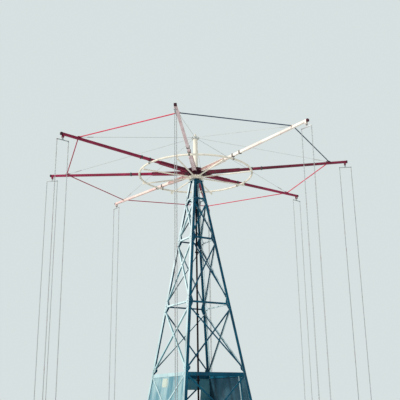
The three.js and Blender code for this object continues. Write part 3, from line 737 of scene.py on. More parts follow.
# %% Measures of an arm
ARM_Z = 11.030
ARM_RISE = 0.029
ARM_ROOT = 0.470
ARM_TIP = 6.290
ROOT_SIZE = (0.116, 0.106)
TIP_SIZE = (0.092, 0.086)
STUB_HALF = (0.080, 0.072)
CHANNEL_END = 1.850
CHANNEL_TIP_HALF = 0.056
WEB_HALF = 0.066
RING_R = 2.360
RING_Z = 10.770
CLAMPS = (RING_R, 2.760)
CLAMP_LONG = 0.060
CLAMP_THICK = 0.012
LUG = (5.440, 5.520)
LUG_TOP = 0.113
LUG_EYE = 0.040
TIE_R = 5.560
TIE_LIFT = 0.050
TIE_CLEAT = (0.044, 0.026)
TIE_LUG = ((-0.055, 0.040), (0.040, 0.040), (0.020, 0.075), (-0.010, 0.085), (-0.050, 0.085))
TIE_LUG_LEVELS = (-0.016, 0.010)
TIE_LUG_THICK = 0.006
EAR = (0.038, 0.050)
EAR_HALF = 0.032
EAR_BOSS = (0.019, 0.004)
CAP_OVER = 0.004
BAR_CORNER = 0.003
ROOT_BOLTS = (0.53, 0.62, 0.71, 0.80)
STUB_BOLT = 0.41
WEB_BOLTS = (1.05, 1.30, 1.55, 1.78)


def arm_z(r):
    """Height of an arm's centre line at a radius."""
    return ARM_Z + ARM_RISE * (r - PIN_R)


LIFT = Matrix(((1, 0, 0, 0), (0, 1, 0, 0), (ARM_RISE, 0, 1, arm_z(0)), (0, 0, 0, 1)))


def arm_size(r):
    """Width and height of an arm at a radius."""
    share = (r - ARM_ROOT) / (ARM_TIP - ARM_ROOT)
    return [root + share * (tip - root) for root, tip in zip(ROOT_SIZE, TIP_SIZE)]


def rounded(width, height, corner, steps=4):
    """A box section with round corners, as (across, up) pairs round its middle."""
    points = []
    for quarter, (x, y) in enumerate(((1, 1), (-1, 1), (-1, -1), (1, -1))):
        for i in range(steps):
            angle = math.pi / 2 * (quarter + i / (steps - 1))
            points.append((
                x * (width / 2 - corner) + corner * math.cos(angle),
                y * (height / 2 - corner) + corner * math.sin(angle),
            ))
    return points


def arc(centre, radius, start, end, steps=8):
    """Points of an arc in degrees, for the round ends of plates."""
    angles = [math.radians(start + (end - start) * i / steps) for i in range(steps + 1)]
    return [(centre[0] + radius * math.cos(a), centre[1] + radius * math.sin(a)) for a in angles]


print("an arm is", [round(1000 * size) for size in arm_size(3.0)], "mm at 3 m")

# %% One arm
def tapered_bar(shape, *ends):
    """A bar along X; each end is its x and the ranges of its y and z."""
    loops = []
    for x, (left, right), (low, high) in ends:
        section = rounded(right - left, high - low, BAR_CORNER, 3)
        loops.append([(x, (left + right) / 2 + y, (low + high) / 2 + z) for y, z in section])
    return shape.loft(loops)


def root_channels(arm):
    """The flanges keep the arm's own finish, and the webs between them have the third, a darker paint that
    is a painted shade in the recess.
    """
    ends = ((ARM_ROOT, STUB_HALF[1]), (CHANNEL_END - 0.006, CHANNEL_TIP_HALF))
    flange = 0.014
    for side in (-1, 1):
        def across(x, outer):
            return sorted((side * (arm_size(x)[0] / 2 - 0.002), side * outer))

        arm.paint = 0
        for level in (-1, 1):
            tapered_bar(arm, *[
                (x, across(x, STUB_HALF[0]), sorted((level * (half - flange), level * half)))
                for x, half in ends
            ])
        # The recessed webs take the darker third finish: a painted shade.
        arm.paint = 2
        tapered_bar(arm, *[(x, across(x, WEB_HALF), (0.004 - half, half - 0.004)) for x, half in ends])
    arm.paint = 0
    high = CHANNEL_TIP_HALF + 0.004
    return arm.block((CHANNEL_END - 0.012, -STUB_HALF[0], -high), (CHANNEL_END, STUB_HALF[0], high), 0.003)


def arm_shape():
    arm = Shape()
    stations = [ARM_ROOT + (ARM_TIP - ARM_ROOT) * i / 6 for i in range(7)]
    arm.loft([[(r, y, z) for y, z in rounded(*arm_size(r), 0.010)] for r in stations])
    root_channels(arm)
    lug_middle = (LUG[0] + LUG[1]) / 2
    lug_half = (LUG[1] - LUG[0]) / 2
    stay_lug = [(LUG[0], 0.0), (LUG[1], 0.0)] + arc((lug_middle, LUG_TOP - lug_half), lug_half, 0, 180)
    arm.plate(stay_lug, -0.010, 0.010, (0, 2, 1))
    half = arm_size(TIE_R)[0] / 2
    reach, over = TIE_CLEAT
    arm.block((TIE_R - reach, -half, 0.0), (TIE_R + reach, half, TIE_LIFT + over), 0.004)
    for side in (-1, 1):
        tie_lug = [(TIE_R + along, side * across) for along, across in TIE_LUG]
        for level in TIE_LUG_LEVELS:
            arm.plate(tie_lug, TIE_LIFT + level, TIE_LIFT + level + TIE_LUG_THICK, (0, 1, 2))
    return arm


def arm_fittings(arm):
    """Clamps in bare dark steel, and the painted end cap."""
    arm.paint = 1
    for r in CLAMPS:
        width, height = arm_size(r - CLAMP_LONG / 2)
        side, rise = width / 2 + CLAMP_THICK, height / 2 + CLAMP_THICK
        arm.block((r - CLAMP_LONG / 2, -side, -rise), (r + CLAMP_LONG / 2, side, rise), 0.004)
    arm.paint = 3
    side, rise = [size / 2 + CAP_OVER for size in TIP_SIZE]
    arm.block((PIN_R + 0.036, -side, -rise), (ARM_TIP + 0.006, side, rise), 0.006)
    return arm


def chair_ears():
    """The ears under the tip and their pin, which hang plumb under the leaning beam."""
    tip = Shape()
    ear = arc((PIN_R, PIN_Z), EAR_HALF, 180, 360) + [(PIN_R + EAR_HALF, ARM_Z), (PIN_R - EAR_HALF, ARM_Z)]
    boss_r, boss_thick = EAR_BOSS
    for side in (-1, 1):
        tip.paint = 0
        tip.plate(ear, side * EAR[0], side * EAR[1], (0, 2, 1))
        tip.paint = 1
        tip.lathe([(boss_r, 0.0), (boss_r, boss_thick)], 20, (PIN_R, side * EAR[1], PIN_Z), (0, side, 0))
    pin_end = EAR[1] + 0.012
    return tip.tube([(PIN_R, -pin_end, PIN_Z), (PIN_R, pin_end, PIN_Z)], 0.011, 16)


def arm_bolts():
    """The fixings of one arm, each a place, the way it faces and the radius of its head."""
    bolts = []
    for side in (-1, 1):
        way = (0, side, 0)
        for rise in (-0.034, 0.034):
            bolts += [((x, side * WEB_HALF, rise), way, 0.012) for x in ROOT_BOLTS]
            bolts.append(((STUB_BOLT, side * STUB_HALF[0], rise), way, 0.012))
        bolts += [((x, side * WEB_HALF, 0.0), way, 0.010) for x in WEB_BOLTS]
        for r in CLAMPS:
            width = arm_size(r - CLAMP_LONG / 2)[0]
            bolts.append(((r, side * (width / 2 + CLAMP_THICK), 0.0), way, 0.011))
        bolts.append(((LUG[0] + LUG_EYE, side * 0.010, LUG_TOP - LUG_EYE), way, 0.011))
        for over in (1, -1):
            tie_bolt = (TIE_R - 0.02, side * 0.066, TIE_LIFT + over * 0.016)
            bolts.append((tie_bolt, (0, 0, over), 0.012))
    return bolts


# Arms 3, 6 and 7 take pale rose, a painted sunlight on their sides.
SUNLIT_ROSE_ARMS = {3: ROSE, 6: DUSTY_ROSE, 7: PALE_ROSE}
rotor_bolts = []
for k in ARMS:
    shape = Shape().add(arm_fittings(arm_shape()), LIFT).add(chair_ears(), Matrix())
    if k in SUNLIT_ROSE_ARMS:
        paint, web, slot = SUNLIT_ROSE_ARMS[k], ROSE_SHADE, "rose_paint"
    else:
        # Arm 8 and the webs of the crimson arms take the darker crimson: a painted shade.
        paint, web, slot = PAINTED_SHADE_CRIMSON if k == 8 else CRIMSON, PAINTED_SHADE_CRIMSON, "crimson_paint"
    finishes = [paint, BLACK_STEEL, web, MAROON]
    beam = piece(f"arm_beam_{k}", shape, finishes, "rotor", [f"arm_{k}"], spun(k))
    rotor_bolts += on_matrix(spun(k) @ LIFT, arm_bolts())
print("arms:", ARM_COUNT, "of", len(beam.data.polygons), "faces")

# %% [markdown]
# Eight tie rods join the arms into a ring and keep them from swaying. A rod is a round bar with its
# ends forged flat and bolted between the lugs. A plain cylinder would do for the bar, but not for its
# ends, so those are lofted through a row of sections that grow wider and thinner. In the picture two
# rods are grey-blue and the others red, some of them brighter.

# %% Tie rods
TIE_PAINT = {6: SLATE, 7: SLATE, 1: BRIGHT_RED, 5: BRIGHT_RED, 8: BRIGHT_RED}
TIE_BAR_R = 0.020
TIE_BAR_START = 0.160
TIE_END = (
    (0.050, 0.022, 0.008),
    (0.075, 0.027, 0.008),
    (0.100, 0.027, 0.008),
    (0.140, 0.021, 0.012),
    (0.170, 0.016, 0.016),
)


def tie_shape():
    """A bar between two forged ends; TIE_END has each section's distance and half its two widths."""
    tie = Shape()
    near = Vector((TIE_R, 0, arm_z(TIE_R) + TIE_LIFT))
    far = Matrix.Rotation(STEP, 4, "Z") @ near
    along = (far - near).normalized()
    across = Vector((0, 0, 1)).cross(along)
    tie.tube([near + along * TIE_BAR_START, far - along * TIE_BAR_START], TIE_BAR_R, 14)
    for start, way in ((near, 1), (far, -1)):
        loops = []
        for distance, half, up in TIE_END:
            middle = start + way * distance * along
            corners = ((-half, -up), (half, -up), (half, up), (-half, up))
            loops.append([middle + x * across + Vector((0, 0, z)) for x, z in corners])
        tie.loft(loops)
    return tie


for k in ARMS:
    paint = TIE_PAINT.get(k, TIE_CRIMSON)
    slot = "slate_paint" if paint is SLATE else "crimson_paint"
    piece(f"tie_bar_{k}", tie_shape(), [paint], "rotor", [f"tie_rod_{k}"], spun(k))
print("tie rods:", ARM_COUNT)

# %% [markdown]
# The cream ring under the arms is bent from tube and hangs by short flat straps from their inner
# clamps. A wheel of spokes lies a little lower. Its spokes run from a collar on the drum, not under
# the arms but turned against them, and an upright link at each end carries the ring. A torus
# primitive could make the ring, but a lofted tube also makes the spokes, so one method serves both.

# %% Ring and spokes
DRUM_R = 0.280
SPOKE_Z = 10.650
SPOKE_TURN = math.radians(-11.5)
RING_TUBE = 0.038
SPOKE_TUBE = 0.028
STRAP_THICK_HALF = 0.006
STRAP_WIDE_HALF = 0.020
WHEEL_COLLAR = (DRUM_R + 0.001, DRUM_R + 0.032)
COLLAR_HALF = 0.034

ring = Shape().tube([polar(RING_R, t, RING_Z) for t in turns(120)], RING_TUBE, 14, closed=True)
strap_top = arm_z(RING_R) - arm_size(RING_R)[1] / 2 - CLAMP_THICK
strap = Shape().block(
    (RING_R - STRAP_THICK_HALF, -STRAP_WIDE_HALF, RING_Z),
    (RING_R + STRAP_THICK_HALF, STRAP_WIDE_HALF, strap_top),
    0.002,
)
strap.paint = 1
strap.tube([(RING_R, -0.025, RING_Z), (RING_R, 0.025, RING_Z)], RING_TUBE + 0.004, 18)
strap.paint = 0
joint_sleeve = [STEP / 2 + math.radians(degrees) for degrees in (-1.6, -0.8, 0.0, 0.8, 1.6)]
strap.tube([polar(RING_R, t, RING_Z) for t in joint_sleeve], RING_TUBE + 0.0035, 14)
strap_bolt = ((RING_R + STRAP_THICK_HALF, 0.0, RING_Z + 0.062), (1, 0, 0), 0.009)
ring.around(strap, ARM_COUNT)
for k in ARMS:
    rotor_bolts += on_matrix(spun(k), [strap_bolt])
piece("tube_ring", ring, [CREAM, BLACK_STEEL], "rotor", ["inner_ring"], spun(1))

inner, outer = WHEEL_COLLAR
low, high = SPOKE_Z - COLLAR_HALF, SPOKE_Z + COLLAR_HALF
wheel = Shape().ring([(inner, low), (outer, low), (outer, high), (inner, high)], 64)
spoke = Shape().tube([(DRUM_R + 0.004, 0, SPOKE_Z), (RING_R + 0.022, 0, SPOKE_Z)], SPOKE_TUBE, 14)
end_sleeve = [(RING_R + x, 0, SPOKE_Z) for x in (-0.10, -0.09, 0.022, 0.028)]
spoke.tube(end_sleeve, [SPOKE_TUBE, SPOKE_TUBE + 0.004, SPOKE_TUBE + 0.004, SPOKE_TUBE], 14)
spoke.tube([(RING_R, 0, SPOKE_Z), (RING_R, 0, RING_Z - 0.03)], 0.016, 12)
clip = [RING_TUBE + extra for extra in (0.001, 0.005, 0.005, 0.001)]
spoke.tube([(RING_R, y, RING_Z) for y in (-0.034, -0.030, 0.030, 0.034)], clip, 14)
wheel.around(spoke, ARM_COUNT, SPOKE_TURN)
for t in turns(ARM_COUNT, SPOKE_TURN + STEP / 2):
    between = spun(1) @ Matrix.Rotation(t, 4, "Z")
    rotor_bolts += on_matrix(between, [((outer, 0, SPOKE_Z), (1, 0, 0), 0.012)])
piece("spoke_wheel", wheel, [CREAM], "rotor", ["ring_spokes"], spun(1))
print("ring and wheel:", len(ring.mesh.faces), "and", len(wheel.mesh.faces), "faces")

# %% [markdown]
# Drum and king post are turned parts on one axis, so each is a lathe profile: pairs of radius and
# height. The drum has a rolled bead near its foot. The hub is an eight-sided block, with a flat for
# each arm's stub and a bolted flange above and below. The post carries a clamped collar, from which a
# stay runs down to the lug on each arm.

# %% Drum, hub and shaft
FIT = 0.0003
HOUSING_TOP = 10.560
HUB_LOW = 10.700
HUB_TOP = 11.000
FLANGE_R = 0.345
FLANGE_THICK = 0.024
FLANGE_BOLTS_R = 0.328
FLAT_R = 0.310
BEAD = 0.006
BEAD_Z = 10.585


def disc(radius, low, high, inset, rise):
    """Four profile points of a disc with bevelled rims."""
    return [(radius - inset, low), (radius, low + rise), (radius, high - rise), (radius - inset, high)]


drum = Shape().lathe([
    (DRUM_R - 0.004, HOUSING_TOP + FIT), (DRUM_R, HOUSING_TOP + FIT + 0.004), (DRUM_R, BEAD_Z - BEAD),
    (DRUM_R + BEAD, BEAD_Z - BEAD / 2), (DRUM_R + BEAD, BEAD_Z + BEAD / 2), (DRUM_R, BEAD_Z + BEAD),
    (DRUM_R, HUB_LOW - 0.005), (DRUM_R - 0.004, HUB_LOW - 0.0004),
], 64)
piece("turning_drum", drum, [CREAM], "rotor", ["rotor_drum"])

corner_r = FLAT_R / math.cos(STEP / 2)
hub_profile = (
    (corner_r - 0.008, HUB_LOW + 0.001),
    (corner_r, HUB_LOW + 0.030),
    (corner_r, HUB_TOP - 0.030),
    (corner_r - 0.008, HUB_TOP - 0.001),
)
hub = Shape().loft([[polar(r, t, z) for t in turns(ARM_COUNT, STEP / 2)] for r, z in hub_profile])
for z in (HUB_LOW, HUB_TOP - FLANGE_THICK):
    hub.lathe(disc(FLANGE_R, z, z + FLANGE_THICK, 0.004, 0.004), 64)
stub = Shape().block(
    (FLAT_R - 0.02, -STUB_HALF[0], arm_z(ARM_ROOT) - STUB_HALF[1]),
    (ARM_ROOT - FIT, STUB_HALF[0], arm_z(ARM_ROOT) + STUB_HALF[1]),
    0.006,
)
hub.around(stub, ARM_COUNT)
piece("arm_hub", hub, [MAROON], "rotor", ["hub"], spun(1))
for t in turns(2 * ARM_COUNT, TURN + STEP / 4):
    for z, way in ((HUB_TOP, 1), (HUB_LOW, -1)):
        rotor_bolts.append((polar(FLANGE_BOLTS_R, t, z), (0, 0, way), 0.011))

SHAFT_R = 0.036
FOOT_TOP = 0.210
COUPLINGS = (2.45, 4.95, 7.45)
COUPLING_R = 0.072
COUPLING_HALF = 0.021
COUPLING_BOLTS_R = 0.054
shaft = Shape().tube([(0, 0, FOOT_TOP + FIT), (0, 0, HOUSING_TOP)], SHAFT_R, 24)
for middle in COUPLINGS:
    for low in (middle - COUPLING_HALF, middle + 0.001):
        shaft.lathe(disc(COUPLING_R, low, low + 0.020, 0.004, 0.003), 32)
    for t in turns(6):
        for way in (1, -1):
            bolt_at = polar(COUPLING_BOLTS_R, t, middle + way * COUPLING_HALF)
            rotor_bolts.append((bolt_at, (0, 0, way), 0.008))
# The shaft's nearly black paint is a painted shade.
piece("turning_shaft", shaft, [SHAFT_PAINTED_SHADE], "rotor", ["drive_shaft"])
print("drum, hub and shaft are turned")

# %% King post and stays
POST_R = 0.095
POST_TOP = 12.500
COLLAR = (12.380, 12.480)
COLLAR_R = 0.128
GROOVE = 0.004
POST_FOOT = ((0.146, 0.0), (0.150, 0.004), (0.150, 0.020), (0.146, 0.024), (0.102, 0.045), (POST_R, 0.062))
POST_BOLTS_R = 0.130
FINIAL = (
    (0.085, 0.008), (0.052, 0.020), (0.040, 0.028), (0.036, 0.054), (0.044, 0.068),
    (0.046, 0.082), (0.038, 0.100), (0.022, 0.114), (0.004, 0.1195),
)
base = HUB_TOP + FIT
groove_low, groove_high = COLLAR[0] - FIT, COLLAR[1] + FIT
post_profile = [(r, base + rise) for r, rise in POST_FOOT]
post_profile += [(POST_R, groove_low), (POST_R - GROOVE, groove_low)]
post_profile += [(POST_R - GROOVE, groove_high), (POST_R, groove_high), (POST_R, POST_TOP)]
post_profile += [(r, POST_TOP + rise) for r, rise in FINIAL]
post = Shape().lathe(post_profile, 48)
piece("crown_post", post, [CREAM], "rotor", ["king_post"])
for t in turns(ARM_COUNT, TURN + STEP / 2):
    rotor_bolts.append((polar(POST_BOLTS_R, t, base + 0.024), (0, 0, 1), 0.011))

stays = Shape().ring([
    (POST_R - 0.0035, COLLAR[0]),
    *disc(COLLAR_R, *COLLAR, 0.004, 0.004),
    (POST_R - 0.0035, COLLAR[1]),
], 48)
lug_eye = LUG[0] + LUG_EYE
stay_low = Vector((lug_eye, 0, arm_z(lug_eye) + LUG_TOP - LUG_EYE))
stay_high = Vector((COLLAR_R + 0.035, 0, sum(COLLAR) / 2 - 0.008))
stay_run = (stay_high - stay_low).normalized()
stay = Shape().tube([stay_low + stay_run * 0.06, stay_high - stay_run * 0.03], 0.007, 8)
stay.block((COLLAR_R - 0.01, -0.006, COLLAR[0] + 0.02), (COLLAR_R + 0.05, 0.006, COLLAR[1] - 0.02), 0.002)
for side in (-1, 1):
    fork = [stay_low - stay_run * 0.022, stay_low + stay_run * 0.07]
    stay.tube([point + Vector((0, side * 0.014, 0)) for point in fork], 0.0075, 8)
stay.tube([stay_low + stay_run * d for d in (0.30, 0.315, 0.56, 0.575)], [0.012, 0.019, 0.019, 0.012], 6)
stays.around(stay, ARM_COUNT)
piece("crown_rods", stays, [PALE_STAY], "rotor", ["crown_stays"], spun(1))
fixings_piece("rotor_bolts", BOLT_HEADS, rotor_bolts, "rotor")

# %% [markdown]
# Each chair hangs from a yoke on the arm's pin. A round eye turns on the pin, a web joins it to a
# bar, and from both ends of the bar a chain goes down. Over the seat each chain parts at a link
# plate into a front and a rear fall. Chain is the same link hundreds of times, each turned a quarter
# from the last, so Geometry Nodes lay it: a line becomes a curve, the curve is cut into pitches and a
# link is set on each point. A link is a rounded wire loop of a few dozen faces.

# %% The chain growth
LINK_PITCH = 0.050
LINK_WIDTH = 0.026
WIRE_R = 0.0055


def chain_tree(material):
    chain = Growth("chain_links", {"Pitch": LINK_PITCH, "Wire radius": WIRE_R, "Link width": LINK_WIDTH})
    wire = chain.size("Wire radius")
    loop = chain.node(
        "GeometryNodeCurvePrimitiveQuadrilateral",
        {"mode": "RECTANGLE"},
        {"Width": chain.size("Link width"), "Height": chain.size("Pitch") + wire * 2},
    )
    loop = chain.node(
        "GeometryNodeFilletCurve",
        {"mode": "POLY"},
        {"Curve": loop, "Radius": chain.size("Link width") * 0.48, "Count": 2},
    )
    section = chain.node("GeometryNodeCurvePrimitiveCircle", None, {"Resolution": 5, "Radius": wire})
    link = chain.node("GeometryNodeCurveToMesh", None, {"Curve": loop, "Profile Curve": section})
    stand = chain.node("FunctionNodeEulerToRotation", None, {"Euler": (math.pi / 2, 0.0, 0.0)})
    link = chain.node("GeometryNodeTransform", None, {"Geometry": link, "Rotation": stand})
    line = chain.node("GeometryNodeMeshToCurve", None, {"Mesh": chain.host()})
    line = chain.node(
        "GeometryNodeResampleCurve", {"mode": "LENGTH"}, {"Curve": line, "Length": chain.size("Pitch")}
    )
    tangent = chain.node("GeometryNodeInputTangent")
    quarter = chain.node("GeometryNodeInputIndex") % 2 * (math.pi / 2) + math.pi / 4
    values = {"Points": line, "Instance": link, "Rotation": chain.turned(tangent, quarter)}
    placed = chain.node("GeometryNodeInstanceOnPoints", None, values)
    chain.end(placed, material)
    return chain


CHAIN_LINKS = chain_tree(GALVANISED)
print("a link every", LINK_PITCH, "m")

# %% Yokes, link plates and chains
CHAIN_X = 0.230
BAR_Z = PIN_Z - 0.110
FORK_Z = 1.480
FORK_REACH = 0.185
HOOP_TOP = 0.824
EYE_HALF = 0.030
EYE_PROFILE = (
    (0.0125, -EYE_HALF), (0.022, -EYE_HALF), (0.024, -EYE_HALF + 0.003),
    (0.024, EYE_HALF - 0.003), (0.022, EYE_HALF), (0.0125, EYE_HALF),
)
BAR_HALF = 0.014
EYE_BOLT_R = 0.013
EYE_BOLT_DROP = 0.030
SHACKLE = ((-0.010, -0.006), (-0.013, 0.018), (0.0, 0.034), (0.013, 0.018), (0.010, -0.006))


def mirrored(half):
    """A symmetric outline from its left half, given from the top down."""
    return half + [(-x, z) for x, z in half[::-1]]


def about_y(centre, radius, turn, y=0.0):
    """The point at a radius and a turn about an axis along Y; centre is the axis's x and z."""
    return (centre[0] + radius * math.cos(turn), y, centre[1] + radius * math.sin(turn))


WEB = mirrored([(-0.020, PIN_Z - 0.018), (-0.026, BAR_Z + 0.030), (-0.060, BAR_Z + 0.010)])
LINK_PLATE = mirrored([(-0.010, FORK_Z + 0.014), (-0.026, FORK_Z - 0.020), (-0.022, FORK_Z - 0.034)])


def rigging_shape():
    rig = Shape()
    rig.loft([[about_y((PIN_R, PIN_Z), r, t, y) for r, y in EYE_PROFILE] for t in turns(24)], closed=True)
    rig.plate([(PIN_R + x, z) for x, z in WEB], -0.008, 0.008, (0, 2, 1))
    end = CHAIN_X + 0.020
    rig.block((PIN_R - end, -BAR_HALF, BAR_Z - BAR_HALF), (PIN_R + end, BAR_HALF, BAR_Z + BAR_HALF), 0.004)
    for side in (-1, 1):
        x = PIN_R + side * CHAIN_X
        eye_bolt = [about_y((x, BAR_Z - EYE_BOLT_DROP), EYE_BOLT_R, t) for t in turns(14)]
        rig.tube(eye_bolt, WIRE_R, 8, closed=True)
        rig.lathe([(0.009, -0.002), (0.009, 0.012)], 6, (x, 0, BAR_Z + BAR_HALF))
        for low, high in ((-0.012, -0.007), (0.007, 0.012)):
            rig.plate(LINK_PLATE, x + low, x + high, (1, 2, 0))
        for y, z in ((0.0, 0.002), (-0.015, -0.022), (0.015, -0.022)):
            rig.tube([(x - 0.015, y, FORK_Z + z), (x + 0.015, y, FORK_Z + z)], WIRE_R, 8)
        for way in (-1, 1):
            rig.tube([(x, way * FORK_REACH + y, HOOP_TOP + z) for y, z in SHACKLE], WIRE_R, 8)
    return rig


def chain_lines():
    """The lines that the chains follow, from their lower ends up."""
    lines = []
    for side in (-1, 1):
        x = PIN_R + side * CHAIN_X
        lines.append(((x, 0, FORK_Z + 0.022), (x, 0, BAR_Z - 0.062)))
        for way in (-1, 1):
            low = Vector((x, way * FORK_REACH, HOOP_TOP + 0.042))
            high = Vector((x, way * 0.015, FORK_Z - 0.030))
            run = (high - low).normalized() * 0.022
            lines.append((low, high - run))
    return lines


chain_host = bpy.data.meshes.new("chain_lines")
ends = [Vector(point) for line in chain_lines() for point in line]
chain_host.from_pydata(ends, [(2 * i, 2 * i + 1) for i in range(len(ends) // 2)], [])
links = CHAIN_LINKS.grow("links", chain_host)
for k in ARMS:
    body, node = f"chair_{k}", [f"chair_chains_{k}"]
    piece(f"yoke_{k}", rigging_shape(), [GALVANISED], body, node, spun(k))
    turned = links.copy()
    turned.name = f"chains_{k}"
    turned.transform(spun(k))
    place_mesh(f"chains_{k}", turned, [], body, node)
print("chains:", ARM_COUNT, "pairs of", len(links.polygons), "faces")

# %% [markdown]
# The seat is a moulded shell: a pan with a rolled front lip that turns up into a back, and its sides
# rise a little so that the rider sits in it. A flat bent plate would be simpler, but it would look
# like one. So a side profile is smoothed, and at each point of it the shell's section goes once round
# from edge to edge and back underneath. Two hoops of tube carry it, with cross straps under the pan
# and a bar behind the back; a lap bar with a grip closes it. The underside and the outside of the
# back are painted darker: a painted shade.

# %% Seats
SEAT_HALF = 0.219
SHELL = 0.010
PROFILE = [
    (0.222, 0.522), (0.226, 0.538), (0.212, 0.553), (0.170, 0.556), (0.090, 0.549), (0.000, 0.545),
    (-0.090, 0.545), (-0.150, 0.553), (-0.190, 0.578), (-0.212, 0.620), (-0.228, 0.690), (-0.246, 0.780),
    (-0.263, 0.870), (-0.279, 0.940), (-0.288, 0.975), (-0.295, 0.984),
]
STRAPS = (-0.110, 0.130)
LAP_BAR = (0.201, 0.810)
BACK_BAR = ((-1, -0.222), (-1, -0.245), (1, -0.245), (1, -0.222))
BACK_BAR_Z = 0.640
# The seat's underside and the back's outside are painted darker: a painted shade.
SEAT_PAINTED_SHADE = weathered_paint("seat_underside", (0.02, 0.035, 0.03), (0.035, 0.05, 0.04), rust=0.4, dirt=0.5)
RUBBER = Finish("black_rubber").shade(Base_Color=(0.03, 0.03, 0.032), Roughness=0.7)


def smoothed(points, steps):
    """A smooth curve through points, with that many steps between two of them."""
    points = [Vector(point) for point in points]
    padded = [points[0], *points, points[-1]]
    curve = []
    for a, b, c, d in zip(padded, padded[1:], padded[2:], padded[3:]):
        for i in range(steps):
            t = i / steps
            bend = (2 * a - 5 * b + 4 * c - d) * t * t
            twist = (3 * b - a - 3 * c + d) * t * t * t
            curve.append(0.5 * (2 * b + (c - a) * t + bend + twist))
    return curve + [points[-1]]


def seat_shape():
    seat = Shape()
    curve = smoothed(PROFILE, 2)
    across = [math.sin(math.pi / 2 * (i / 6 - 1)) for i in range(13)]
    loops = []
    for i, point in enumerate(curve):
        run = (curve[min(i + 1, len(curve) - 1)] - curve[max(i - 1, 0)]).normalized()
        normal = Vector((run.y, -run.x))
        share = i / (len(curve) - 1)
        dish = 0.026 * math.sin(math.pi * min(1.0, share * 1.15)) ** 0.5 if 0 < share < 0.87 else 0.0
        width = SEAT_HALF - 0.050 * max(0.0, share - 0.90) / 0.10
        half = SHELL / 2 * (0.5 if i in (0, len(curve) - 1) else 1.0)
        loop = []
        for way in (1, -1):
            for u in across if way > 0 else across[::-1]:
                depth = dish * abs(u) ** 3 + way * half * (1 - 0.5 * abs(u) ** 12)
                y, z = point + normal * -depth
                loop.append((PIN_R + u * (width - 0.002 * (way < 0)), y, z))
        loops.append(loop)
    seat.loft(loops)
    return seat


def paint_shade_below(seat):
    """Gives the underside of the pan and the outside of the back the second finish, a painted shade."""
    bmesh.ops.recalc_face_normals(seat.mesh, faces=seat.mesh.faces)
    for face in seat.mesh.faces:
        middle = face.calc_center_median()
        below = face.normal.z < -0.3 and middle.z < 0.62
        behind = face.normal.y < -0.3 and middle.z >= 0.56
        if below or behind:
            face.material_index = 1
    return seat


def seat_frame(seat):
    bend = 0.028
    corners = [(-0.185, 0.522), (0.205, 0.522), (0.213, 0.810), (-0.239, 0.810)]
    for side in (-1, 1):
        x = PIN_R + side * CHAIN_X
        path = []
        for i, corner in enumerate(corners):
            here = Vector(corner)
            before = (Vector(corners[i - 1]) - here).normalized() * bend
            after = (Vector(corners[(i + 1) % 4]) - here).normalized() * bend
            for t in (0.0, 0.25, 0.5, 0.75, 1.0):
                y, z = (1 - t) ** 2 * (here + before) + 2 * t * (1 - t) * here + t * t * (here + after)
                path.append((x, y, z))
        seat.tube(path, 0.012, 12, closed=True)
        for y in (FORK_REACH, -FORK_REACH):
            seat.block((x - 0.014, y - 0.018, HOOP_TOP - 0.028), (x + 0.014, y + 0.018, HOOP_TOP), 0.003)
    seat.paint = 1
    reach = CHAIN_X - 0.004
    for y in STRAPS:
        seat.block((PIN_R - reach, y - 0.018, 0.527), (PIN_R + reach, y + 0.018, 0.534), 0.002)
    seat.tube([(PIN_R + side * reach, y, BACK_BAR_Z) for side, y in BACK_BAR], 0.009, 10)
    seat.paint = 2
    seat.tube([(PIN_R + x, *LAP_BAR) for x in (-CHAIN_X, CHAIN_X)], 0.0105, 12)
    seat.paint = 3
    grip = [(PIN_R + x, *LAP_BAR) for x in (-0.165, -0.160, 0.160, 0.165)]
    seat.tube(grip, [0.012, 0.0155, 0.0155, 0.012], 14)
    return seat


seat_bolts = []
for side in (-1, 1):
    for way in (-1, 1):
        seat_bolts.append(((PIN_R + side * (CHAIN_X + 0.014), way * FORK_REACH, 0.810), (side, 0, 0), 0.007))
for x in (-0.14, 0.14):
    for y in STRAPS:
        seat_bolts.append(((PIN_R + x, y, 0.5505), (0, 0, 1), 0.006))
for k in ARMS:
    shape = seat_frame(paint_shade_below(seat_shape()))
    finishes = [SEAT_GREEN, SEAT_PAINTED_SHADE, GALVANISED, RUBBER]
    made = piece(f"seat_{k}", shape, finishes, f"chair_{k}", [f"chair_seat_{k}"], spun(k))
    fixings_piece(f"seat_bolts_{k}", BOLT_HEADS, on_matrix(spun(k), seat_bolts), f"chair_{k}")
print("seats:", ARM_COUNT, "of", len(made.data.polygons), "faces")

# %% [markdown]
# The tower's four faces are alike, so everything on them is placed on a flat drawing of one face: x
# across, y up its slope and z outwards from the outer side of the legs. FACE lays that drawing
# against the front, and face() turns it to the side that is wanted. Heights over the ground are
# turned into distances up the slope by up().

# %% The tower's faces
BASE_HALF = 1.700
HEAD_HALF = 0.200
HEAD_Z = 10.464
SLOPE = (BASE_HALF - HEAD_HALF) / HEAD_Z
STRETCH = math.hypot(1, SLOPE)
LEVELS = (2.630, 5.305, 7.950, 9.670)
CORNER_CLEAR = 0.076
BEHIND_LEG = -0.0103
LEG_WIDTH = 0.120
RAIL_HALF = 0.065
SIDES = ("front", "right", "rear", "left")
rise = Vector((0, SLOPE, 1)).normalized()
outwards = Vector((0, -1, SLOPE)).normalized()
FACE = Matrix((
    (1, 0, 0, 0),
    (0, rise.y, outwards.y, -BASE_HALF),
    (0, rise.z, outwards.z, 0),
    (0, 0, 0, 1),
))


def face(side):
    return Matrix.Rotation(SIDES.index(side) * math.pi / 2, 4, "Z") @ FACE


def half_at(z):
    """Half the tower's width at a height."""
    return BASE_HALF - SLOPE * z


def up(z):
    """The distance up a face that a height is at."""
    return z * STRETCH


print("a face leans in by", round(1000 * SLOPE), "mm a metre")

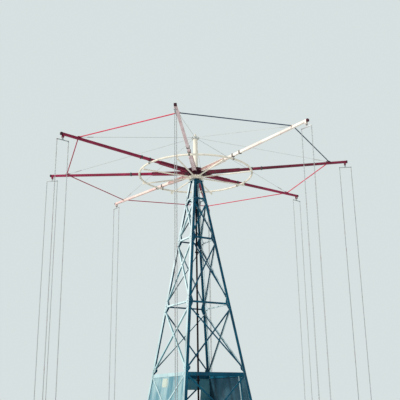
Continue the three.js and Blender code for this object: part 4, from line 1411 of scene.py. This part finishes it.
# %% [markdown]
# The sheets are strips of thin iron, lapped at their edges and riveted along the laps. Nothing that
# thin stays flat, so each strip has shallow waves and a few dents. They go inwards only, because the
# crossed bars bear against the outer side. A strip is a closed grid: its front, its back and a rim.
# STRIPS says where the laps are, and its first and last numbers lie past the corners, which end the
# outer strips.

# %% Sheet iron
SHEET_FRONT = -0.0189
SHEET_THIN = 0.0015
LAP = 0.030
EDGE_CLEAR = 0.030
SEAM_PITCH = 0.13
EDGE_PITCH = 0.15
RIVET_R = 0.006
STRIP_GRID = (12, 30)
SHEET_LIFT = 0.0083
sheet_low = up(0.040) + SHEET_LIFT
sheet_top = up(LEVELS[0]) - RAIL_HALF - FIT
STRIPS = {
    "right": (-2.0, -1.05, -0.40, 0.25, 0.90, 2.0),
    "rear": (-2.0, -0.95, -0.15, 0.42, 0.98, 2.0),
    "left": (-2.0, -0.92, -0.30, 0.34, 1.00, 2.0),
}
REAR_GAP = (-0.95, -0.15, 2.150)
chance = random.Random(36)


def edge_at(y):
    """Half the sheets' width at a distance up the face."""
    return half_at(y / STRETCH) - EDGE_CLEAR


def strip_shape(left, right, bottom, lapped):
    """One strip; lapped lifts its edges over its neighbours'."""
    columns, rows = STRIP_GRID
    waves = [
        (chance.uniform(2, 9), chance.uniform(1.0, 4.0), chance.uniform(0, FULL_TURN))
        for _ in range(4)
    ]
    dents = [
        (chance.uniform(left, right), chance.uniform(bottom, sheet_top), chance.uniform(0.06, 0.16))
        for _ in range(3)
    ]

    def sunk(x, y):
        wave = sum(math.sin(a * x + b * y + c) for a, b, c in waves) / 8 + 0.5
        dent = sum(math.exp(-((x - dx) ** 2 + (y - dy) ** 2) / size ** 2) for dx, dy, size in dents)
        return 0.006 * wave + 0.008 * dent + (0.0 if lapped else 0.002)

    strip = Shape()
    loops = []
    for j in range(rows + 1):
        y = bottom + (sheet_top - bottom) * j / rows
        reach = edge_at(y)
        low, high = max(left - LAP / 2, -reach), min(right + LAP / 2, reach)
        xs = [low + (high - low) * i / columns for i in range(columns + 1)]
        front = [(x, y, SHEET_FRONT - sunk(x, y)) for x in xs]
        loops.append(front + [(x, y, z - SHEET_THIN) for x, y, z in front[::-1]])
    strip.loft(loops)
    bmesh.ops.recalc_face_normals(strip.mesh, faces=strip.mesh.faces)
    # Faces on the inner side take the second finish, the painted shade.
    for sheet_face in strip.mesh.faces:
        sheet_face.material_index = int(sheet_face.normal.z < 0)
    return strip


rivets = []
for side, bounds in STRIPS.items():
    wall = Shape()
    seams = []
    for i, (left, right) in enumerate(zip(bounds, bounds[1:])):
        gap = side == "rear" and (left, right) == REAR_GAP[:2]
        wall.add(strip_shape(left, right, REAR_GAP[2] if gap else sheet_low, i % 2 == 0), Matrix())
        seams += [(x, REAR_GAP[2] if gap else sheet_low) for x in (left, right)]
    # The inner sides take the painted shade, and the rear wall's a paler copy as painted light.
    finishes = [SHEET_IRON, SHEET_INSIDE_PAINTED_LIGHT if side == "rear" else SHEET_INSIDE_PAINTED_SHADE]
    piece(f"sheet_wall_{side}", wall, finishes, "tower", [f"sheeting_{side}"], face(side))
    on_face = []
    for x, bottom in set(seams):
        y = bottom + 0.05
        while y < sheet_top - 0.03:
            if abs(x) < edge_at(y) - 0.02:
                on_face.append(((x, y, SHEET_FRONT - 0.004), (0, 0, 1), RIVET_R))
            y += SEAM_PITCH
    for y in (sheet_low + 0.03, sheet_top - 0.03):
        x = -edge_at(y) + 0.05
        while x < edge_at(y):
            if side != "rear" or y > 1 or not REAR_GAP[0] < x < REAR_GAP[1]:
                on_face.append(((x, y, SHEET_FRONT - 0.004), (0, 0, 1), RIVET_R))
            x += EDGE_PITCH
    rivets += on_matrix(face(side), on_face)
fixings_piece("sheet_rivets", SHEET_RIVETS, rivets, "tower")

# %% [markdown]
# The bars are bolted through the legs and the long gussets behind them. These lists follow the
# joints of the drawing: a row of bolts down each gusset, the ends of the bars, the crossings, then the
# foot plates.

# %% Tower bolts
LAP_TO_BAR = 0.225
PAST_BAR = 0.040
GUSSETS = (
    (LEVELS[0] + LAP_TO_BAR, 0.130, PAST_BAR),
    (LEVELS[1], LAP_TO_BAR + PAST_BAR, LAP_TO_BAR + PAST_BAR),
    (LEVELS[2], LAP_TO_BAR + PAST_BAR, LAP_TO_BAR + PAST_BAR),
    (LEVELS[3], LAP_TO_BAR + PAST_BAR, PAST_BAR),
)
SILL_Z = 0.080
BOLT_PITCH = 0.110
GUSSET_ROW = 0.052
END_ROW = 0.098
JOINT_BOLT = 0.013
BAR_BOLT = 0.010
FOOT_BOLT = 0.016
FOOT_BOLTS_AT = 0.095
FOOT_PLATE_TOP = 0.020
RAIL_BOLTS = (-0.042, 0.0, 0.042)
BAR_BOLTS = (-0.016, 0.016)


def crossing(low, high, low_clear=CORNER_CLEAR):
    """How far up a face two crossed bars meet, from the heights of their ends."""
    below, above = half_at(low) - low_clear, half_at(high) - CORNER_CLEAR
    return up(low) + (up(high) - up(low)) * below / (below + above)


joint_bolts = []
bar_ends = [(SILL_Z, BAR_BOLTS), (LEVELS[0], RAIL_BOLTS)] + [(z, BAR_BOLTS) for z in LEVELS[1:]]
for z, next_z in zip(LEVELS, LEVELS[1:]):
    bar_ends += [(z + LAP_TO_BAR, (0.0,)), (next_z - LAP_TO_BAR, (0.0,))]
for side in (-1, 1):
    for z, under, over in GUSSETS:
        count = round((under + over) / BOLT_PITCH)
        for i in range(count):
            offset = -under + (under + over) * (i + 0.5) / count
            x = side * (half_at(z + offset) - GUSSET_ROW)
            joint_bolts.append(((x, up(z) + offset, 0.0), (0, 0, 1), JOINT_BOLT))
    for z, offsets in bar_ends:
        for offset in offsets:
            x = side * (half_at(z) - END_ROW)
            joint_bolts.append(((x, up(z) + offset, 0.0), (0, 0, 1), JOINT_BOLT))
    for z in LEVELS[1:3]:
        for offset in BAR_BOLTS:
            x = side * (half_at(z) - LEG_WIDTH - 0.040)
            joint_bolts.append(((x, up(z) + offset, BEHIND_LEG), (0, 0, 1), BAR_BOLT))
    foot_end = (side * (half_at(SILL_Z) - 0.150), up(SILL_Z) + 0.03, BEHIND_LEG)
    joint_bolts.append((foot_end, (0, 0, 1), 0.012))
for z, next_z in zip(LEVELS, LEVELS[1:]):
    middle = crossing(z + LAP_TO_BAR, next_z - LAP_TO_BAR)
    for offset in (-0.014, 0.014):
        joint_bolts.append(((offset, middle, BEHIND_LEG), (0, 0, 1), BAR_BOLT))
foot_crossing = crossing(SILL_Z, LEVELS[0] - RAIL_HALF / 2, CORNER_CLEAR + 0.030)
joint_bolts.append(((0.0, foot_crossing, BEHIND_LEG), (0, 0, 1), 0.014))
tower_bolts = [bolt for side in SIDES for bolt in on_matrix(face(side), joint_bolts)]
FOOT_MIDDLE = BASE_HALF - LEG_WIDTH / 2
SQUARE = ((-1, -1), (-1, 1), (1, -1), (1, 1))
for x, y in SQUARE:
    for dx, dy in SQUARE:
        if (dx, dy) != (x, y):
            bolt_x, bolt_y = x * FOOT_MIDDLE + dx * FOOT_BOLTS_AT, y * FOOT_MIDDLE + dy * FOOT_BOLTS_AT
            tower_bolts.append(((bolt_x, bolt_y, FOOT_PLATE_TOP), (0, 0, 1), FOOT_BOLT))
fixings_piece("tower_bolts", BLUE_BOLTS, tower_bolts, "tower")

# %% [markdown]
# The head is a square plate with a turned bearing housing on it. At the foot a welded beam crosses
# between two sills and carries the lower bearing. The housing could be a plain tube, but a real one
# has a flange, a waist and a bevelled rim, so it is a turned outline, and both ends of the shaft get
# a ring of bolts.

# %% Tower head and foot bearing
HEAD_TOP = 10.480
PLATE_HALF = HEAD_HALF + 0.038
SHAFT_BORE = 0.044
HOUSING = (
    (SHAFT_BORE, HEAD_Z + 0.001), (SHAFT_BORE, HOUSING_TOP), (0.146, HOUSING_TOP),
    (0.150, HOUSING_TOP - 0.004), (0.150, HOUSING_TOP - 0.022), (0.140, HOUSING_TOP - 0.028),
    (0.140, HEAD_TOP + 0.026), (0.152, HEAD_TOP + 0.018), (0.190, HEAD_TOP + 0.014),
    (0.192, HEAD_TOP), (0.120, HEAD_Z + 0.001),
)
HOUSING_BOLTS_R = 0.172
BEAM_HALF = 0.075
BEAM_TOP = 0.150
BEAM_FLANGE = 0.012
STIFFENERS = (-1.2, -0.6, -0.12, 0.12, 0.6, 1.2)
FOOT_FLANGE_TOP = 0.172
FOOT_RING_R = 0.085
FOOT_BEARING = (
    (0.074, 0.1495), (0.074, 0.160), (0.095, 0.160), (0.095, FOOT_FLANGE_TOP),
    (0.080, 0.176), (0.074, 0.206), (0.070, FOOT_TOP), (0.002, FOOT_TOP),
)
head = Shape().loft([
    [(x * PLATE_HALF, y * PLATE_HALF, z) for x, y in ((-1, -1), (1, -1), (1, 1), (-1, 1))]
    for z in (HEAD_Z, HEAD_TOP)
])
head.ring(HOUSING, 48)
piece("head_housing", head, [TOWER_BLUE], "tower", ["tower_head"])
head_bolts = [(polar(HOUSING_BOLTS_R, t, HEAD_TOP + 0.015), (0, 0, 1), 0.009) for t in turns(12)]
corner_at = PLATE_HALF - 0.030
head_bolts += [((x * corner_at, y * corner_at, HEAD_TOP), (0, 0, 1), 0.012) for x, y in SQUARE]

beam_reach = half_at(0.040) - 0.110
bearing = Shape()
for low in (0.0, BEAM_TOP - BEAM_FLANGE):
    bearing.block((-beam_reach, -BEAM_HALF, low), (beam_reach, BEAM_HALF, low + BEAM_FLANGE), 0.002)
bearing.block((-beam_reach + 0.002, -0.006, 0.010), (beam_reach - 0.002, 0.006, 0.140), 0.0)
for x in STIFFENERS:
    bearing.block((x - 0.005, -0.070, 0.011), (x + 0.005, 0.070, 0.139), 0.0)
bearing.lathe(FOOT_BEARING, 40)
piece("foot_beam", bearing, [TOWER_BLUE], "tower", ["foot_bearing"])
foot_ring = [polar(FOOT_RING_R, t, FOOT_FLANGE_TOP) for t in turns(8, math.pi / 8)]
head_bolts += [(place, (0, 0, 1), 0.006) for place in foot_ring]
fixings_piece("bearing_bolts", BOLT_HEADS, head_bolts, "tower")

# %% [markdown]
# High on the left side, just under the rail, a pale plate is screwed to the sheets. A flat
# rectangle would be the plainest way, but such a plate has rounded corners, so its outline is four
# arcs joined by straight edges.

# %% Pale plate on the left side
PLATE_EDGES = (-0.39, 0.01, 2.215, 2.535)
left, right, bottom, top = PLATE_EDGES
corner = 0.06
outline = []
for x, y, start in (
    (right - corner, top - corner, 0),
    (left + corner, top - corner, 90),
    (left + corner, bottom + corner, 180),
    (right - corner, bottom + corner, 270),
):
    outline += arc((x, y), corner, start, start + 90, 5)
PLATE_CREAM = weathered_paint("plate_cream", (0.39, 0.44, 0.39), (0.33, 0.38, 0.34), rust=0.1, dirt=0.2)
plate = Shape().plate(outline, SHEET_FRONT - 0.012, SHEET_FRONT + 0.002, (0, 1, 2))
piece("bare_plate", plate, [PLATE_CREAM], "tower", (), face("left"))
corners = [(x, y) for x in (left + 0.03, right - 0.03) for y in (bottom + 0.03, top - 0.03)]
screws = [((x, y, SHEET_FRONT + 0.002), (0, 0, 1), 0.006) for x, y in corners]
fixings_piece("plate_screws", BOLT_HEADS, on_matrix(face("left"), screws), "tower")
